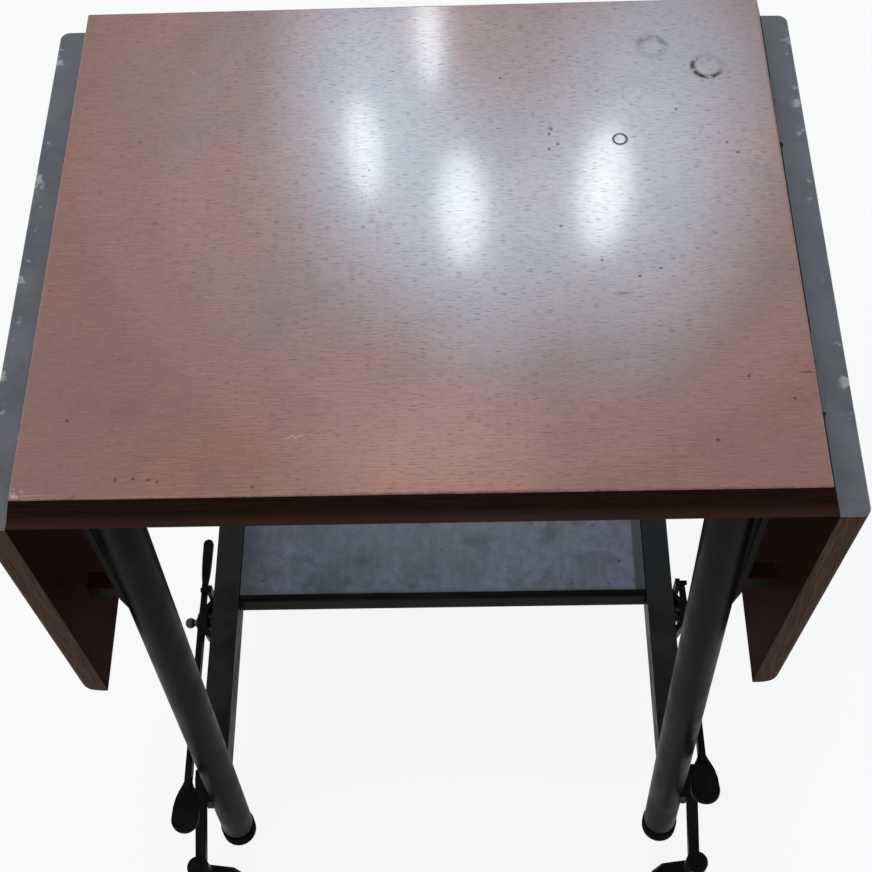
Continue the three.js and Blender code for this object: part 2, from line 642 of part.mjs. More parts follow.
// Caster arm: a beam with the caster's eye ahead of the leg and a hub beside it, lapped by a tail whose
// post carries the pin that the pedal lifts
function casterArm() {
  const h = ARM_HALF_HEIGHT;
  const tailZ = PEDAL_PIVOT_Z - ARM_TAIL_DROP;
  const eyeZ = EYE_BOTTOM + EYE_HEIGHT / 2;
  const hub = ARM_HUB_RADIUS / 2;
  const post = ARM_POST_WIDTH / 2;
  const profile = outline([
    [EYE_Y, eyeZ - h],
    [ARM_PIVOT_Y - hub, ARM_PIVOT_Z - h],
    [ARM_PIVOT_Y + hub, ARM_PIVOT_Z - h],
    [ARM_PIVOT_Y + 2 * ARM_HUB_RADIUS, tailZ - h],
    [LIFT_Y + post, tailZ - h],
    [LIFT_Y + post, LIFT_Z + LIFT_PIN_RADIUS],
    [LIFT_Y - post, LIFT_Z + LIFT_PIN_RADIUS],
    [LIFT_Y - post, tailZ + h],
    [ARM_PIVOT_Y + ARM_HUB_RADIUS, tailZ + h],
    [ARM_PIVOT_Y - hub, ARM_PIVOT_Z + h],
    [EYE_Y, eyeZ + h],
  ]);
  const tailStart = ARM_PIVOT_Y + LEG_PAD_SIZE / 2 + LEG_PAD_CLEARANCE;
  const ahead = box(0, FAR, -FAR, tailStart + ARM_LAP, 0, FAR);
  const behind = box(0, FAR, tailStart, FAR, 0, FAR);
  const beam = common(alongX(profile, BEAM_INNER, BEAM_OUTER), ahead);
  const tail = common(alongX(profile, ARM_INNER, ARM_OUTER), behind);
  const stemBore = STEM_RADIUS + RUN;
  const eyeTop = EYE_BOTTOM + EYE_HEIGHT;
  const upright = (radius, z0, z1, sides) =>
    rod(radius, at(EYE_X, EYE_Y, z0), at(EYE_X, EYE_Y, z1), sides);
  const eye = upright(stemBore + EYE_WALL, EYE_BOTTOM, eyeTop, SIDES);
  const hubDisc = acrossArm(ARM_HUB_RADIUS, BEAM_INNER, BEAM_OUTER, SIDES);
  const pinFrom = at(ARM_INNER, LIFT_Y, LIFT_Z);
  const pinTo = at(LEVER_OUTER, LIFT_Y, LIFT_Z);
  const liftPin = rod(LIFT_PIN_RADIUS, pinFrom, pinTo, FINE_SIDES);
  return cut(
    join(beam, tail, eye, hubDisc, liftPin),
    upright(stemBore, EYE_BOTTOM - PAST, eyeTop + PAST, FINE_SIDES),
    acrossArm(ARM_BOLT_RADIUS + GAP, BEAM_INNER - PAST, BEAM_OUTER + PAST),
  );
}
const acrossArm = (radius, x0, x1, sides = FINE_SIDES) =>
  rod(radius, at(x0, ARM_PIVOT_Y, ARM_PIVOT_Z), at(x1, ARM_PIVOT_Y, ARM_PIVOT_Z), sides);

// Pad welded to the leg, and the shoulder bolt that carries the caster arm on it
function legPad() {
  const half = LEG_PAD_SIZE / 2;
  const axis = legAt(ARM_PIVOT_Z, -1);
  const across = [ARM_PIVOT_Y - half, ARM_PIVOT_Y + half];
  const up = [ARM_PIVOT_Z - half, ARM_PIVOT_Z + half];
  const block = box(axis.x, PAD_FACE, ...across, ...up);
  return cut(
    block,
    rod(LEG_RADIUS + GAP, legAt(0, -1), legAt(LEG_TOP, -1)),
    acrossArm(ARM_BOLT_RADIUS + GAP, PAD_FACE - LEG_PAD_MIN, PAD_FACE + PAST),
  );
}
function armBolt() {
  const headFace = BEAM_OUTER + GAP;
  return join(
    acrossArm(ARM_BOLT_RADIUS, PAD_FACE - LEG_PAD_MIN + GAP, headFace + ARM_BOLT_HEAD_LENGTH / 2),
    acrossArm(ARM_BOLT_HEAD, headFace, headFace + ARM_BOLT_HEAD_LENGTH, 6),
  );
}

// Caster, about its own stem: the wheel trails along +X with its bottom at the origin's level
const CHEEK_INNER = WHEEL_WIDTH / 2 + 2 * GAP;
const CHEEK_OUTER = CHEEK_INNER + CHEEK_WALL;
const CROWN_BOTTOM = 2 * WHEEL_RADIUS + CROWN_CLEARANCE;
const alongAxle = (radius, y0, y1, sides = FINE_SIDES) =>
  rod(radius, at(CASTER_TRAIL, y0, WHEEL_RADIUS), at(CASTER_TRAIL, y1, WHEEL_RADIUS), sides);
function casterFork() {
  const crownTop = CROWN_BOTTOM + CROWN_WALL;
  const half = CHEEK_WIDTH / 2;
  const cheek = new THREE.Shape();
  cheek.moveTo(-NECK_RADIUS, crownTop);
  cheek.lineTo(CASTER_TRAIL - half, WHEEL_RADIUS);
  cheek.absarc(CASTER_TRAIL, WHEEL_RADIUS, half, Math.PI, 2 * Math.PI);
  cheek.lineTo(CASTER_TRAIL, crownTop);
  const upright = (radius, z0, z1) => rod(radius, at(0, 0, z0), at(0, 0, z1), FINE_SIDES);
  const whole = join(
    alongY(cheek, -CHEEK_OUTER, -CHEEK_INNER),
    alongY(cheek, CHEEK_INNER, CHEEK_OUTER),
    box(-NECK_RADIUS, CASTER_TRAIL, -CHEEK_OUTER, CHEEK_OUTER, CROWN_BOTTOM, crownTop),
    upright(NECK_RADIUS, CROWN_BOTTOM, CASTER_HEIGHT),
    upright(COLLAR_RADIUS, CASTER_HEIGHT - COLLAR_HEIGHT, CASTER_HEIGHT),
    upright(STEM_RADIUS, CASTER_HEIGHT - COLLAR_HEIGHT, CASTER_HEIGHT + STEM_LENGTH),
  );
  return cut(whole, alongAxle(AXLE_RADIUS + GAP, -2 * CHEEK_OUTER, 2 * CHEEK_OUTER));
}
function casterWheel() {
  const half = WHEEL_WIDTH / 2;
  const section = roundedRectangle(0, WHEEL_RADIUS, -half, half, [0, TREAD_ROUND, TREAD_ROUND, 0]);
  const profile = section.getPoints(TREAD_STEPS);
  const wheel = new THREE.LatheGeometry(profile, SIDES)
    .translate(CASTER_TRAIL, 0, WHEEL_RADIUS);
  return cut(wheel, alongAxle(AXLE_RADIUS + GAP, -WHEEL_WIDTH, WHEEL_WIDTH));
}
const AXLE_END = CHEEK_OUTER + AXLE_PROUD;
const casterAxle = () => alongAxle(AXLE_RADIUS, -AXLE_END, AXLE_END);
function caster(name, x, y, z, heading) {
  const group = new THREE.Group();
  group.position.set(x, y, z);
  group.rotation.z = THREE.MathUtils.degToRad(heading);
  place(group, `${name}_caster_fork`, casterFork(), PAINT);
  place(group, `${name}_caster_wheel`, casterWheel(), RUBBER);
  place(group, `${name}_caster_axle`, casterAxle(), STEEL);
  return group;
}

// One side of the table, drawn on the right and mirrored for the left
function side(name, mirror, { blade, raised, bend, lean }) {
  const group = new THREE.Group();
  group.scale.x = mirror;
  place(group, `${name}_leaf`, leaning(leaf(), lean), LEAF_WOOD);
  place(group, `${name}_top_angle`, sideAngle(), PAINT);
  place(group, `${name}_side_rail`, sideRail(), PAINT);
  place(group, `${name}_front_leg`, leg(-1, TIP_FLOOR + GAP), PAINT);
  place(group, `${name}_rear_leg`, leg(1, REAR_LEG_BOTTOM), PAINT);
  place(group, `${name}_foot_tip`, footTip(), RUBBER);
  place(group, `${name}_rear_socket`, rearSocket(), STEEL);
  const rodEnd = SUPPORT_ARM_PLACE + SUPPORT_ARM_WIDTH / 2 + SUPPORT_ROD_END;
  place(group, `${name}_support_rod`, supportRod(SUPPORT_ROD_RADIUS, -rodEnd, rodEnd), STEEL);
  for (const [end, word] of [
    [-1, "front"],
    [1, "rear"],
  ]) {
    place(group, `${name}_${word}_hinge_plate`, hingePlate(end * HINGE_PLACE), STEEL);
    const flap = leaning(hingeFlap(end * HINGE_PLACE), lean);
    place(group, `${name}_${word}_hinge_flap`, flap, STEEL);
    place(group, `${name}_${word}_support_arm`, supportArm(end), PAINT);
    place(group, `${name}_${word}_hanger`, hanger(end), PAINT);
  }
  place(group, `${name}_pedal_bracket`, pedalBracket(), PAINT);
  place(group, `${name}_pedal_lever`, pedalLever(blade, raised, bend), PAINT);
  place(group, `${name}_pedal_bolt`, pedalBolt(), STEEL);
  place(group, `${name}_caster_arm`, casterArm(), PAINT);
  place(group, `${name}_leg_pad`, legPad(), PAINT);
  place(group, `${name}_arm_bolt`, armBolt(), STEEL);
  const foot = legAt(REAR_LEG_BOTTOM, 1);
  group.add(caster(`${name}_front`, EYE_X, EYE_Y, PARKED_LIFT, FRONT_CASTER_HEADING));
  group.add(caster(`${name}_rear`, foot.x, foot.y, 0, REAR_CASTER_HEADING));
  return group;
}

const table = new THREE.Group();
place(table, "top_board", topBoard(), VENEER);
place(table, "front_top_angle", crossAngle(-1), PAINT);
place(table, "rear_top_angle", crossAngle(1), PAINT);
place(table, "tray", tray(), TRAY_STEEL);
const RIGHT = {
  blade: RIGHT_BLADE,
  raised: RIGHT_PEDAL_ANGLE,
  bend: RIGHT_PEDAL_BEND,
  lean: RIGHT_LEAF_LEAN,
};
table.add(side("right", 1, RIGHT));
table.add(side("left", -1, { blade: LEFT_BLADE, raised: 0, bend: 0, lean: 0 }));

// The origin is on the floor at the middle of the whole table's box
const middle = new THREE.Box3().setFromObject(table, true).getCenter(new THREE.Vector3());
for (const piece of table.children) piece.position.set(-middle.x, -middle.y, 0);

export default table;
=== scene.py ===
# %% [markdown]
# # A typewriter table
# The table is a small steel stand with a veneered board, two hanging leaves, a lower tray and pedals that
# lower a caster beside each front leg. The solids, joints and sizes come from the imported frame. This
# lesson sets up the camera and the light, and gives every surface its finish and every piece its softened
# edges.

# %% Load the frame
import json
import math

import bmesh
import bpy
from mathutils import Matrix, Vector


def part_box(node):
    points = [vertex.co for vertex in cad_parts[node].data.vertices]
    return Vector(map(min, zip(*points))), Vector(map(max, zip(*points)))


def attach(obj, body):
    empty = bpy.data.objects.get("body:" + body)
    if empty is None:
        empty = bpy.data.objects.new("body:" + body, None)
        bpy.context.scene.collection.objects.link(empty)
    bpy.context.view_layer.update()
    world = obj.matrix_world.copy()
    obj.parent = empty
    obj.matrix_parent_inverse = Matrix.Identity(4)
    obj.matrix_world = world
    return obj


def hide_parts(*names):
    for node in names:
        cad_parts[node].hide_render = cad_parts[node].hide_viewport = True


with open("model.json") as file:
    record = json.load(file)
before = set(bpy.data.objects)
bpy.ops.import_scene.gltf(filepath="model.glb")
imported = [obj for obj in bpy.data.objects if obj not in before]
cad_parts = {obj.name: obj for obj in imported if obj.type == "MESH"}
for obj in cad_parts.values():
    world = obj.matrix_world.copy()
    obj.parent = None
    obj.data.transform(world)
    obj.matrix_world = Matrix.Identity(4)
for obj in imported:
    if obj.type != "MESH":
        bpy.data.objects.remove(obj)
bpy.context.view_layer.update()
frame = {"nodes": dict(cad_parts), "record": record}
NODES = frame["nodes"]

# %% [markdown]
# ## Where the photograph was taken from
# The picture looks steeply down from the user's side, so the board fills most of it. The camera was found
# by fitting the board's corners, the legs and the rails at once. A camera matrix is three axes and a
# place, which is easier to check than three Euler angles, so the axes are written out from the angles.

# %% Camera
MM = 0.001
BOARD_LOW, BOARD_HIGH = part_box("top_board")
BOARD_CENTRE = [(low + high) / 2 for low, high in zip(BOARD_LOW, BOARD_HIGH)]
BOARD_MIDDLE = Vector((BOARD_CENTRE[0], BOARD_CENTRE[1], BOARD_HIGH[2]))
PHOTO_SIZE = 872
SENSOR = 36.0
FOCAL_PIXELS = 1450.06
CAMERA_FROM_BOARD = Vector((31.5, -551.6, 690.2)) * MM
CAMERA_DOWN = math.radians(59.680)
CAMERA_YAW = math.radians(-3.064)
CAMERA_ROLL = math.radians(-3.665)


def camera_axes():
    """The directions to the camera's right, over its head and the way it looks."""
    level = Vector((math.sin(CAMERA_YAW), math.cos(CAMERA_YAW), 0))
    side = Vector((math.cos(CAMERA_YAW), -math.sin(CAMERA_YAW), 0))
    forward = level * math.cos(CAMERA_DOWN) - Vector((0, 0, math.sin(CAMERA_DOWN)))
    over = level * math.sin(CAMERA_DOWN) + Vector((0, 0, math.cos(CAMERA_DOWN)))
    right = side * math.cos(CAMERA_ROLL) + over * math.sin(CAMERA_ROLL)
    up = over * math.cos(CAMERA_ROLL) - side * math.sin(CAMERA_ROLL)
    return right, up, forward


RIGHT, UP, FORWARD = camera_axes()
CAMERA_PLACE = BOARD_MIDDLE + CAMERA_FROM_BOARD
camera_data = bpy.data.cameras.new("photo_camera")
camera_data.sensor_width = SENSOR
camera_data.lens = FOCAL_PIXELS / PHOTO_SIZE * SENSOR
camera = bpy.data.objects.new("photo_camera", camera_data)
TURN = Matrix((RIGHT, UP, -FORWARD)).transposed().to_4x4()
camera.matrix_world = Matrix.Translation(CAMERA_PLACE) @ TURN
bpy.context.collection.objects.link(camera)
bpy.context.scene.camera = camera
print("the lens is", round(camera_data.lens, 1), "mm")


def on_board(pixel):
    """The ray through a photograph's pixel, and the point where it meets the board's upper face."""
    half = PHOTO_SIZE / 2
    ray = FORWARD * FOCAL_PIXELS + RIGHT * (pixel[0] - half) - UP * (pixel[1] - half)
    ray.normalize()
    return ray, CAMERA_PLACE + ray * ((BOARD_MIDDLE.z - CAMERA_PLACE.z) / ray.z)


# %% [markdown]
# ## A short way to draw node trees
# A finish is a small drawing of nodes. One helper adds a node, sets the inputs that are plain values and
# joins the inputs that are sockets, so a finish reads from top to bottom like a recipe. The Mix node has
# sockets of the same name for numbers, vectors and colours, so its colour sockets are found by number.

# %% Node helpers
FLOAT, VECTOR = "NodeSocketFloat", "NodeSocketVector"
MIX_SHARE, MIX_FIRST, MIX_SECOND, MIX_RESULT = 0, 6, 7, 2


def add(tree, kind, inputs=None, **settings):
    node = tree.nodes.new(kind)
    for name, value in settings.items():
        setattr(node, name, value)
    for name, value in (inputs or {}).items():
        if isinstance(value, bpy.types.NodeSocket):
            tree.links.new(value, node.inputs[name])
        else:
            node.inputs[name].default_value = value
    return node


def new_group(name, inputs, outputs):
    """An empty shader group; inputs and outputs give the type of each socket by its name."""
    tree = bpy.data.node_groups.new(name, "ShaderNodeTree")
    for way, sockets in (("INPUT", inputs), ("OUTPUT", outputs)):
        for label, kind in sockets.items():
            tree.interface.new_socket(label, in_out=way, socket_type=kind)
    return tree, tree.nodes.new("NodeGroupInput").outputs, tree.nodes.new("NodeGroupOutput").inputs


def use(tree, group, inputs):
    """Places a shared effect in a finish."""
    return add(tree, "ShaderNodeGroup", inputs, node_tree=group).outputs


def mixed(tree, share, first, second):
    """Goes from the first colour to the second as the share goes from 0 to 1."""
    colours = {MIX_SHARE: share, MIX_FIRST: first, MIX_SECOND: second}
    return add(tree, "ShaderNodeMix", colours, data_type="RGBA").outputs[MIX_RESULT]


def sums(tree, operation, first, second):
    return add(tree, "ShaderNodeMath", {0: first, 1: second}, operation=operation).outputs[0]


def unsigned(tree, value):
    return add(tree, "ShaderNodeMath", {0: value}, operation="ABSOLUTE").outputs[0]


def either(tree, first, second):
    """The stronger of two masks."""
    return sums(tree, "MAXIMUM", first, second)


def both(tree, first, second):
    """A mask where another one lets it through, or a mask at part of its strength."""
    return sums(tree, "MULTIPLY", first, second)


def spread(tree, value, low, high, to_low=0.0, to_high=1.0):
    """Stretches the part of a value between low and high over a new range, with soft ends."""
    settings = {"From Min": low, "From Max": high, "To Min": to_low, "To Max": to_high}
    node = add(tree, "ShaderNodeMapRange", {"Value": value, **settings}, interpolation_type="SMOOTHSTEP")
    return node.outputs[0]


def between(tree, mask, at_black, at_white):
    """A value that goes from one level to another as a mask goes from black to white."""
    return spread(tree, mask, 0, 1, at_black, at_white)


def axis_of(tree, vector, axis):
    return add(tree, "ShaderNodeSeparateXYZ", {"Vector": vector}).outputs[axis]


# %% [markdown]
# ## Floor and backdrop
# A pale floor catches the shadow, and a pale world closes the view behind it. Both are brighter to the
# camera and in mirrors than the light that they send to the table, so dark paint and wood stay dark.

# %% Floor and world
scene = bpy.context.scene
scene.view_settings.view_transform = "Standard"
FLOOR_REACH = 60.0
FLOOR_WHITE = (0.82, 0.82, 0.83, 1)
FLOOR_ROUGHNESS = 0.9
FLOOR_GLOW = 0.88
WORLD_TINT = (0.95, 0.97, 1, 1)
WORLD_FILL, WORLD_SEEN = 0.4, 0.97


def camera_sees(tree):
    """A value that is 1 where the camera, a mirror or glass looks, and 0 for light that only fills."""
    path = add(tree, "ShaderNodeLightPath").outputs
    mirrored = either(tree, path["Is Camera Ray"], path["Is Glossy Ray"])
    return either(tree, mirrored, path["Is Transmission Ray"])


def floor_finish():
    material = bpy.data.materials.new("pale_floor")
    material.use_nodes = True
    tree = material.node_tree
    shader = tree.nodes["Principled BSDF"]
    shader.inputs["Base Color"].default_value = FLOOR_WHITE
    shader.inputs["Roughness"].default_value = FLOOR_ROUGHNESS
    share = both(tree, camera_sees(tree), FLOOR_GLOW)
    glow = add(tree, "ShaderNodeEmission")
    mix = add(tree, "ShaderNodeMixShader", {0: share, 1: shader.outputs[0], 2: glow.outputs[0]})
    tree.links.new(mix.outputs[0], tree.nodes["Material Output"].inputs["Surface"])
    return material


def studio_world():
    """A dim fill for the object behind a pale backdrop that the camera and mirrors see."""
    world = bpy.data.worlds.new("studio")
    world.use_nodes = True
    tree = world.node_tree
    fill, seen = tree.nodes["Background"], add(tree, "ShaderNodeBackground")
    for background, strength in ((fill, WORLD_FILL), (seen, WORLD_SEEN)):
        background.inputs["Color"].default_value = WORLD_TINT
        background.inputs["Strength"].default_value = strength
    mix = add(tree, "ShaderNodeMixShader", {0: camera_sees(tree), 1: fill.outputs[0], 2: seen.outputs[0]})
    tree.links.new(mix.outputs[0], tree.nodes["World Output"].inputs["Surface"])
    return world


corners = [(x * FLOOR_REACH, y * FLOOR_REACH, 0) for x, y in ((-1, -1), (1, -1), (1, 1), (-1, 1))]
floor_mesh = bpy.data.meshes.new("floor")
floor_mesh.from_pydata(corners, [], [(0, 1, 2, 3)])
floor_mesh.materials.append(floor_finish())
floor = bpy.data.objects.new("floor", floor_mesh)
bpy.context.collection.objects.link(floor)
scene.world = studio_world()

# %% [markdown]
# ## Light
# The lacquer's shine is real reflection: each bright patch in the picture shows where a lamp stood. A ray
# from the camera to the patch, mirrored in the board, points at the lamp, so a soft area lamp is hung along
# that mirrored ray. The milky sheen around the patches is bluish daylight, and the board's front mirrors a
# warm wall. These wider lights are each hung four times in growing sizes, so that they fade out in steps
# too small to see. One more lamp overhead lights the whole table.

# %% Lamps
LAMP_DISTANCE, LAMP_GAP = 2.6, 0.03
BARE_BULB, DAYLIGHT, WARM_WALL = (0.94, 1, 1), (0.46, 0.78, 1), (1, 0.66, 0.5)
SHINE_GLOW = 14
SHINE_PATCHES = {
    "left_shine": ((364, 150), (0.075, 0.24)),
    "middle_shine": ((462, 208), (0.11, 0.27)),
    "right_shine": ((604, 190), (0.12, 0.3)),
    "far_shine": ((429, 36), (0.06, 0.26)),
}
WINDOW_PATCHES = {
    "left_window": ((372, 120), (0.34, 0.7), 6.9, DAYLIGHT),
    "middle_window": ((485, 235), (0.36, 0.55), 5.4, DAYLIGHT),
    "right_window": ((645, 165), (0.46, 0.78), 6.2, DAYLIGHT),
    "wide_window": ((475, 185), (1.5, 1.15), 3.0, DAYLIGHT),
    "warm_wall": ((420, 470), (0.6, 0.36), 2.4, WARM_WALL),
}
WINDOW_STEPS = (0.55, 0.85, 1.15, 1.45)
OVERHEAD = {"place": (-0.8, -0.9, 2.8), "size": (1.8, 1.8), "watts": 21, "tint": (1, 0.93, 0.84)}


def lamp(name, place, target, size, watts, tint):
    data = bpy.data.lights.new(name, "AREA")
    data.shape = "ELLIPSE"
    data.size, data.size_y = size
    data.energy = watts
    data.color = tint
    thing = bpy.data.objects.new(name, data)
    thing.location = place
    thing.rotation_euler = (Vector(target) - Vector(place)).to_track_quat("-Z", "Y").to_euler()
    bpy.context.collection.objects.link(thing)


def along_mirrored_ray(pixel, away):
    """The place where a lamp has to hang to be seen in the board at a pixel, and the spot it shines on."""
    ray, spot = on_board(pixel)
    return spot + Vector((ray.x, ray.y, -ray.z)) * away, spot


def hang(name, pixel, size, glow, tint):
    """Hangs an ellipse that shines at a given level, a little further off than the lamp before it."""
    wide, high = size
    # A lamp's glow is its watts over pi and its area, which is pi quarters of its width times its height.
    watts = glow * math.pi * (math.pi / 4 * wide * high)
    away = LAMP_DISTANCE + LAMP_GAP * len(bpy.data.lights)
    lamp(name, *along_mirrored_ray(pixel, away), size, watts, tint)


for name, (pixel, size) in SHINE_PATCHES.items():
    hang(name, pixel, size, SHINE_GLOW, BARE_BULB)
for name, (pixel, (wide, high), glow, tint) in WINDOW_PATCHES.items():
    for step in WINDOW_STEPS:
        hang(name, pixel, (wide * step, high * step), glow / len(WINDOW_STEPS), tint)
lamp("overhead", target=BOARD_MIDDLE, **OVERHEAD)
print("hung", len(bpy.data.lights), "lamps")

# %% [markdown]
# ## Effects that several finishes share
# Wood grain, cloudy blotches, hairline scratches and specks each come back on several pieces. Each is drawn
# once as a group with its own dials, and every finish sets the dials for itself. A stretch is a scale for
# each axis: the wood runs along the axis with the smallest one.

# %% Grain, blotches, scratches and specks
STREAK_RANGE, PORE_RANGE = (0.22, 0.78), (0.53, 0.72)
SCRATCH_CREST, SCRATCHED_RANGE, SCRATCHED_SCALE = (0.7, 0.78), (0.54, 0.66), 14
X_GRAIN = {"Stretch": (45, 900, 900), "Pore Stretch": (190, 1500, 1500)}
Y_GRAIN = {"Stretch": (900, 45, 900), "Pore Stretch": (1500, 190, 1500)}
Z_GRAIN = {"Stretch": (900, 900, 45), "Pore Stretch": (1500, 1500, 190)}
HAIRLINES = {"Turn": (0, 0, 0.5), "Stretch": (16, 1300, 16)}


def stretched(tree, vector, by):
    return add(tree, "ShaderNodeVectorMath", {0: vector, 1: by}, operation="MULTIPLY").outputs[0]


def noise(tree, vector, scale=1, detail=2, roughness=0.5):
    inputs = {"Vector": vector, "Scale": scale, "Detail": detail, "Roughness": roughness}
    return add(tree, "ShaderNodeTexNoise", inputs).outputs[0]


def grain_group():
    """Long thin streaks and short dark pores: noise stretched along the wood and squeezed across it."""
    dials = {"Vector": VECTOR, "Stretch": VECTOR, "Pore Stretch": VECTOR}
    tree, given, out = new_group("wood_grain", dials, {"Streaks": FLOAT, "Pores": FLOAT})
    streaks = noise(tree, stretched(tree, given["Vector"], given["Stretch"]), detail=5, roughness=0.6)
    pores = noise(tree, stretched(tree, given["Vector"], given["Pore Stretch"]))
    tree.links.new(spread(tree, streaks, *STREAK_RANGE), out["Streaks"])
    tree.links.new(spread(tree, pores, *PORE_RANGE), out["Pores"])
    return tree


def blotch_group():
    """Clouds with a soft edge, for bloom, wear and dust."""
    dials = {"Vector": VECTOR, "Scale": FLOAT, "Low": FLOAT, "High": FLOAT}
    tree, given, out = new_group("blotches", dials, {"Mask": FLOAT})
    cloud = noise(tree, given["Vector"], given["Scale"], detail=6, roughness=0.62)
    tree.links.new(spread(tree, cloud, given["Low"], given["High"]), out["Mask"])
    return tree


def scratch_group():
    """Hairlines: the crests of a long squeezed noise, kept only here and there."""
    dials = {"Vector": VECTOR, "Turn": VECTOR, "Stretch": VECTOR}
    tree, given, out = new_group("scratches", dials, {"Mask": FLOAT})
    turned = {"Vector": given["Vector"], "Rotation": given["Turn"], "Scale": given["Stretch"]}
    lines = noise(tree, add(tree, "ShaderNodeMapping", turned).outputs[0], detail=1)
    kept = spread(tree, noise(tree, given["Vector"], SCRATCHED_SCALE), *SCRATCHED_RANGE)
    tree.links.new(both(tree, spread(tree, lines, *SCRATCH_CREST), kept), out["Mask"])
    return tree


def speck_group():
    """Round specks of uneven size; only a share of the cells holds one."""
    dials = {"Vector": VECTOR, "Scale": FLOAT, "Size": FLOAT, "Share": FLOAT}
    tree, given, out = new_group("specks", dials, {"Mask": FLOAT})
    cells = add(tree, "ShaderNodeTexVoronoi", {"Vector": given["Vector"], "Scale": given["Scale"]})
    pick = add(tree, "ShaderNodeSeparateColor", {"Color": cells.outputs["Color"]})
    size = both(tree, given["Size"], pick.outputs[0])
    near = sums(tree, "LESS_THAN", cells.outputs["Distance"], size)
    chosen = sums(tree, "LESS_THAN", pick.outputs[1], given["Share"])
    tree.links.new(both(tree, near, chosen), out["Mask"])
    return tree


GRAIN, BLOTCH, SCRATCH, SPECK = grain_group(), blotch_group(), scratch_group(), speck_group()
print("drew", len(bpy.data.node_groups), "shared effects")

# %% [markdown]
# ## Finishes
# The board and leaves are one wood at different stages of wear: lacquered above, dark and dull inside.
# The frame is black-brown paint, the tray a blue-grey one. Colours are linear values chosen from the calm
# parts of the picture, away from the reflections, because the lamps add those again. A cloud is three
# numbers: its scale, and the two levels of noise between which its edge fades.

# %% Finish helpers
PLAIN_GLOSS, BUMP_STRENGTH = 0.5, 0.5


def begin(name, gloss=PLAIN_GLOSS):
    """A new finish; gloss is how strongly its surface mirrors at a right angle."""
    material = bpy.data.materials.new(name)
    material.use_nodes = True
    tree = material.node_tree
    shader = tree.nodes["Principled BSDF"]
    shader.inputs["Specular IOR Level"].default_value = gloss
    return material, tree, shader, add(tree, "ShaderNodeTexCoord").outputs["Object"]


def wire(tree, shader, colour, roughness, height, bump):
    """Joins a finish's colour, roughness and relief to its shader; bump is the relief's depth."""
    tree.links.new(colour, shader.inputs["Base Color"])
    tree.links.new(roughness, shader.inputs["Roughness"])
    relief = add(tree, "ShaderNodeBump", {"Height": height, "Strength": BUMP_STRENGTH, "Distance": bump})
    tree.links.new(relief.outputs[0], shader.inputs["Normal"])


def rgb(red, green, blue):
    return (red, green, blue, 1)


def tinted(tree, mask, share, colour, over):
    """Lays a colour over another where a mask is white, at part of its strength."""
    return mixed(tree, both(tree, mask, share), colour, over)


def cloudy(tree, place, cloud):
    scale, low, high = cloud
    return use(tree, BLOTCH, {"Vector": place, "Scale": scale, "Low": low, "High": high})["Mask"]


def specked(tree, place, specks):
    return use(tree, SPECK, {"Vector": place, **specks})["Mask"]


# %% [markdown]
# ## The board's marks
# A used board tells its story in marks: two cup rings, a small blister with a crisp rim, dark dots, a faint
# smear, a crack that runs in from the right edge, a pale scuff of three strokes and a rubbed corner. Each is
# a distance from one place on the board, bent into a ring, a dot or a long ellipse, so it stays on the wood
# from every side.

# %% Marks on the board
CUP_RINGS = [
    {"pixel": (651, 47), "radius": 0.0085, "width": 0.0045, "strength": 0.5, "darkest": (0.2, 0.7, 0)},
    {"pixel": (707, 66), "radius": 0.0092, "width": 0.0032, "strength": 0.95, "darkest": (-0.6, -0.75, 0)},
]
RING_BREAKS, RING_PALEST = (170, 0.3, 0.56), 0.2
RING_PALE_SIDE, RING_DARK_SIDE = -0.8, 0.6
BLISTER_PIXEL, BLISTER_RADIUS, BLISTER_RIM = (620, 139), 0.0042, 0.0013
DOT_MARKS = [(115, 480), (133, 479), (148, 480), (157, 482), (252, 487), (67, 421), (676, 109), (727, 142)]
DOT_MARKS += [(738, 152), (795, 398), (749, 376), (718, 440), (551, 129), (549, 134), (558, 144), (549, 149)]
DOT_MARKS += [(561, 226), (602, 260), (640, 276), (661, 268), (500, 78)]
DOT_CORE, DOT_RADIUS, DOT_STRENGTH = 0.0002, 0.0016, 0.75
CRACK_PIXEL, CRACK_SIZE = (807, 372), (0.0075, 0.0006, 1)
SMEAR_PIXEL, SMEAR_SIZE, SMEAR_STRENGTH = (623, 293), (0.009, 0.0018, 1), 0.4
SCUFF_STROKES = [((288, 438), 14), ((294, 437), -38), ((300, 436), 14)]
SCUFF_SIZE = (0.0036, 0.0006, 1)
CORNER_PIXEL, CORNER_CORE, CORNER_REACH = (10, 497), 0.002, 0.012
CORNER_RUBS = (260, 0.5, 0.6)
LONG_MARK_CORE = 0.2


def vectors(tree, operation, first, second=(0, 0, 0)):
    return add(tree, "ShaderNodeVectorMath", {0: first, 1: second}, operation=operation).outputs


def away_from(tree, place, pixel):
    return vectors(tree, "DISTANCE", place, tuple(on_board(pixel)[1]))["Value"]


def long_mark(tree, place, pixel, size, turn=0.0):
    """A thin ellipse around a place on the board: 1 in its middle and 0 at its rim."""
    inputs = {"Vector": place, "Location": on_board(pixel)[1], "Rotation": (0, 0, turn), "Scale": size}
    inside = add(tree, "ShaderNodeMapping", inputs, vector_type="TEXTURE").outputs[0]
    return spread(tree, vectors(tree, "LENGTH", inside)["Value"], LONG_MARK_CORE, 1, 1, 0)


def ring_mark(tree, place, pixel, radius, width):
    off = unsigned(tree, sums(tree, "SUBTRACT", away_from(tree, place, pixel), radius))
    return spread(tree, off, 0, width, 1, 0)


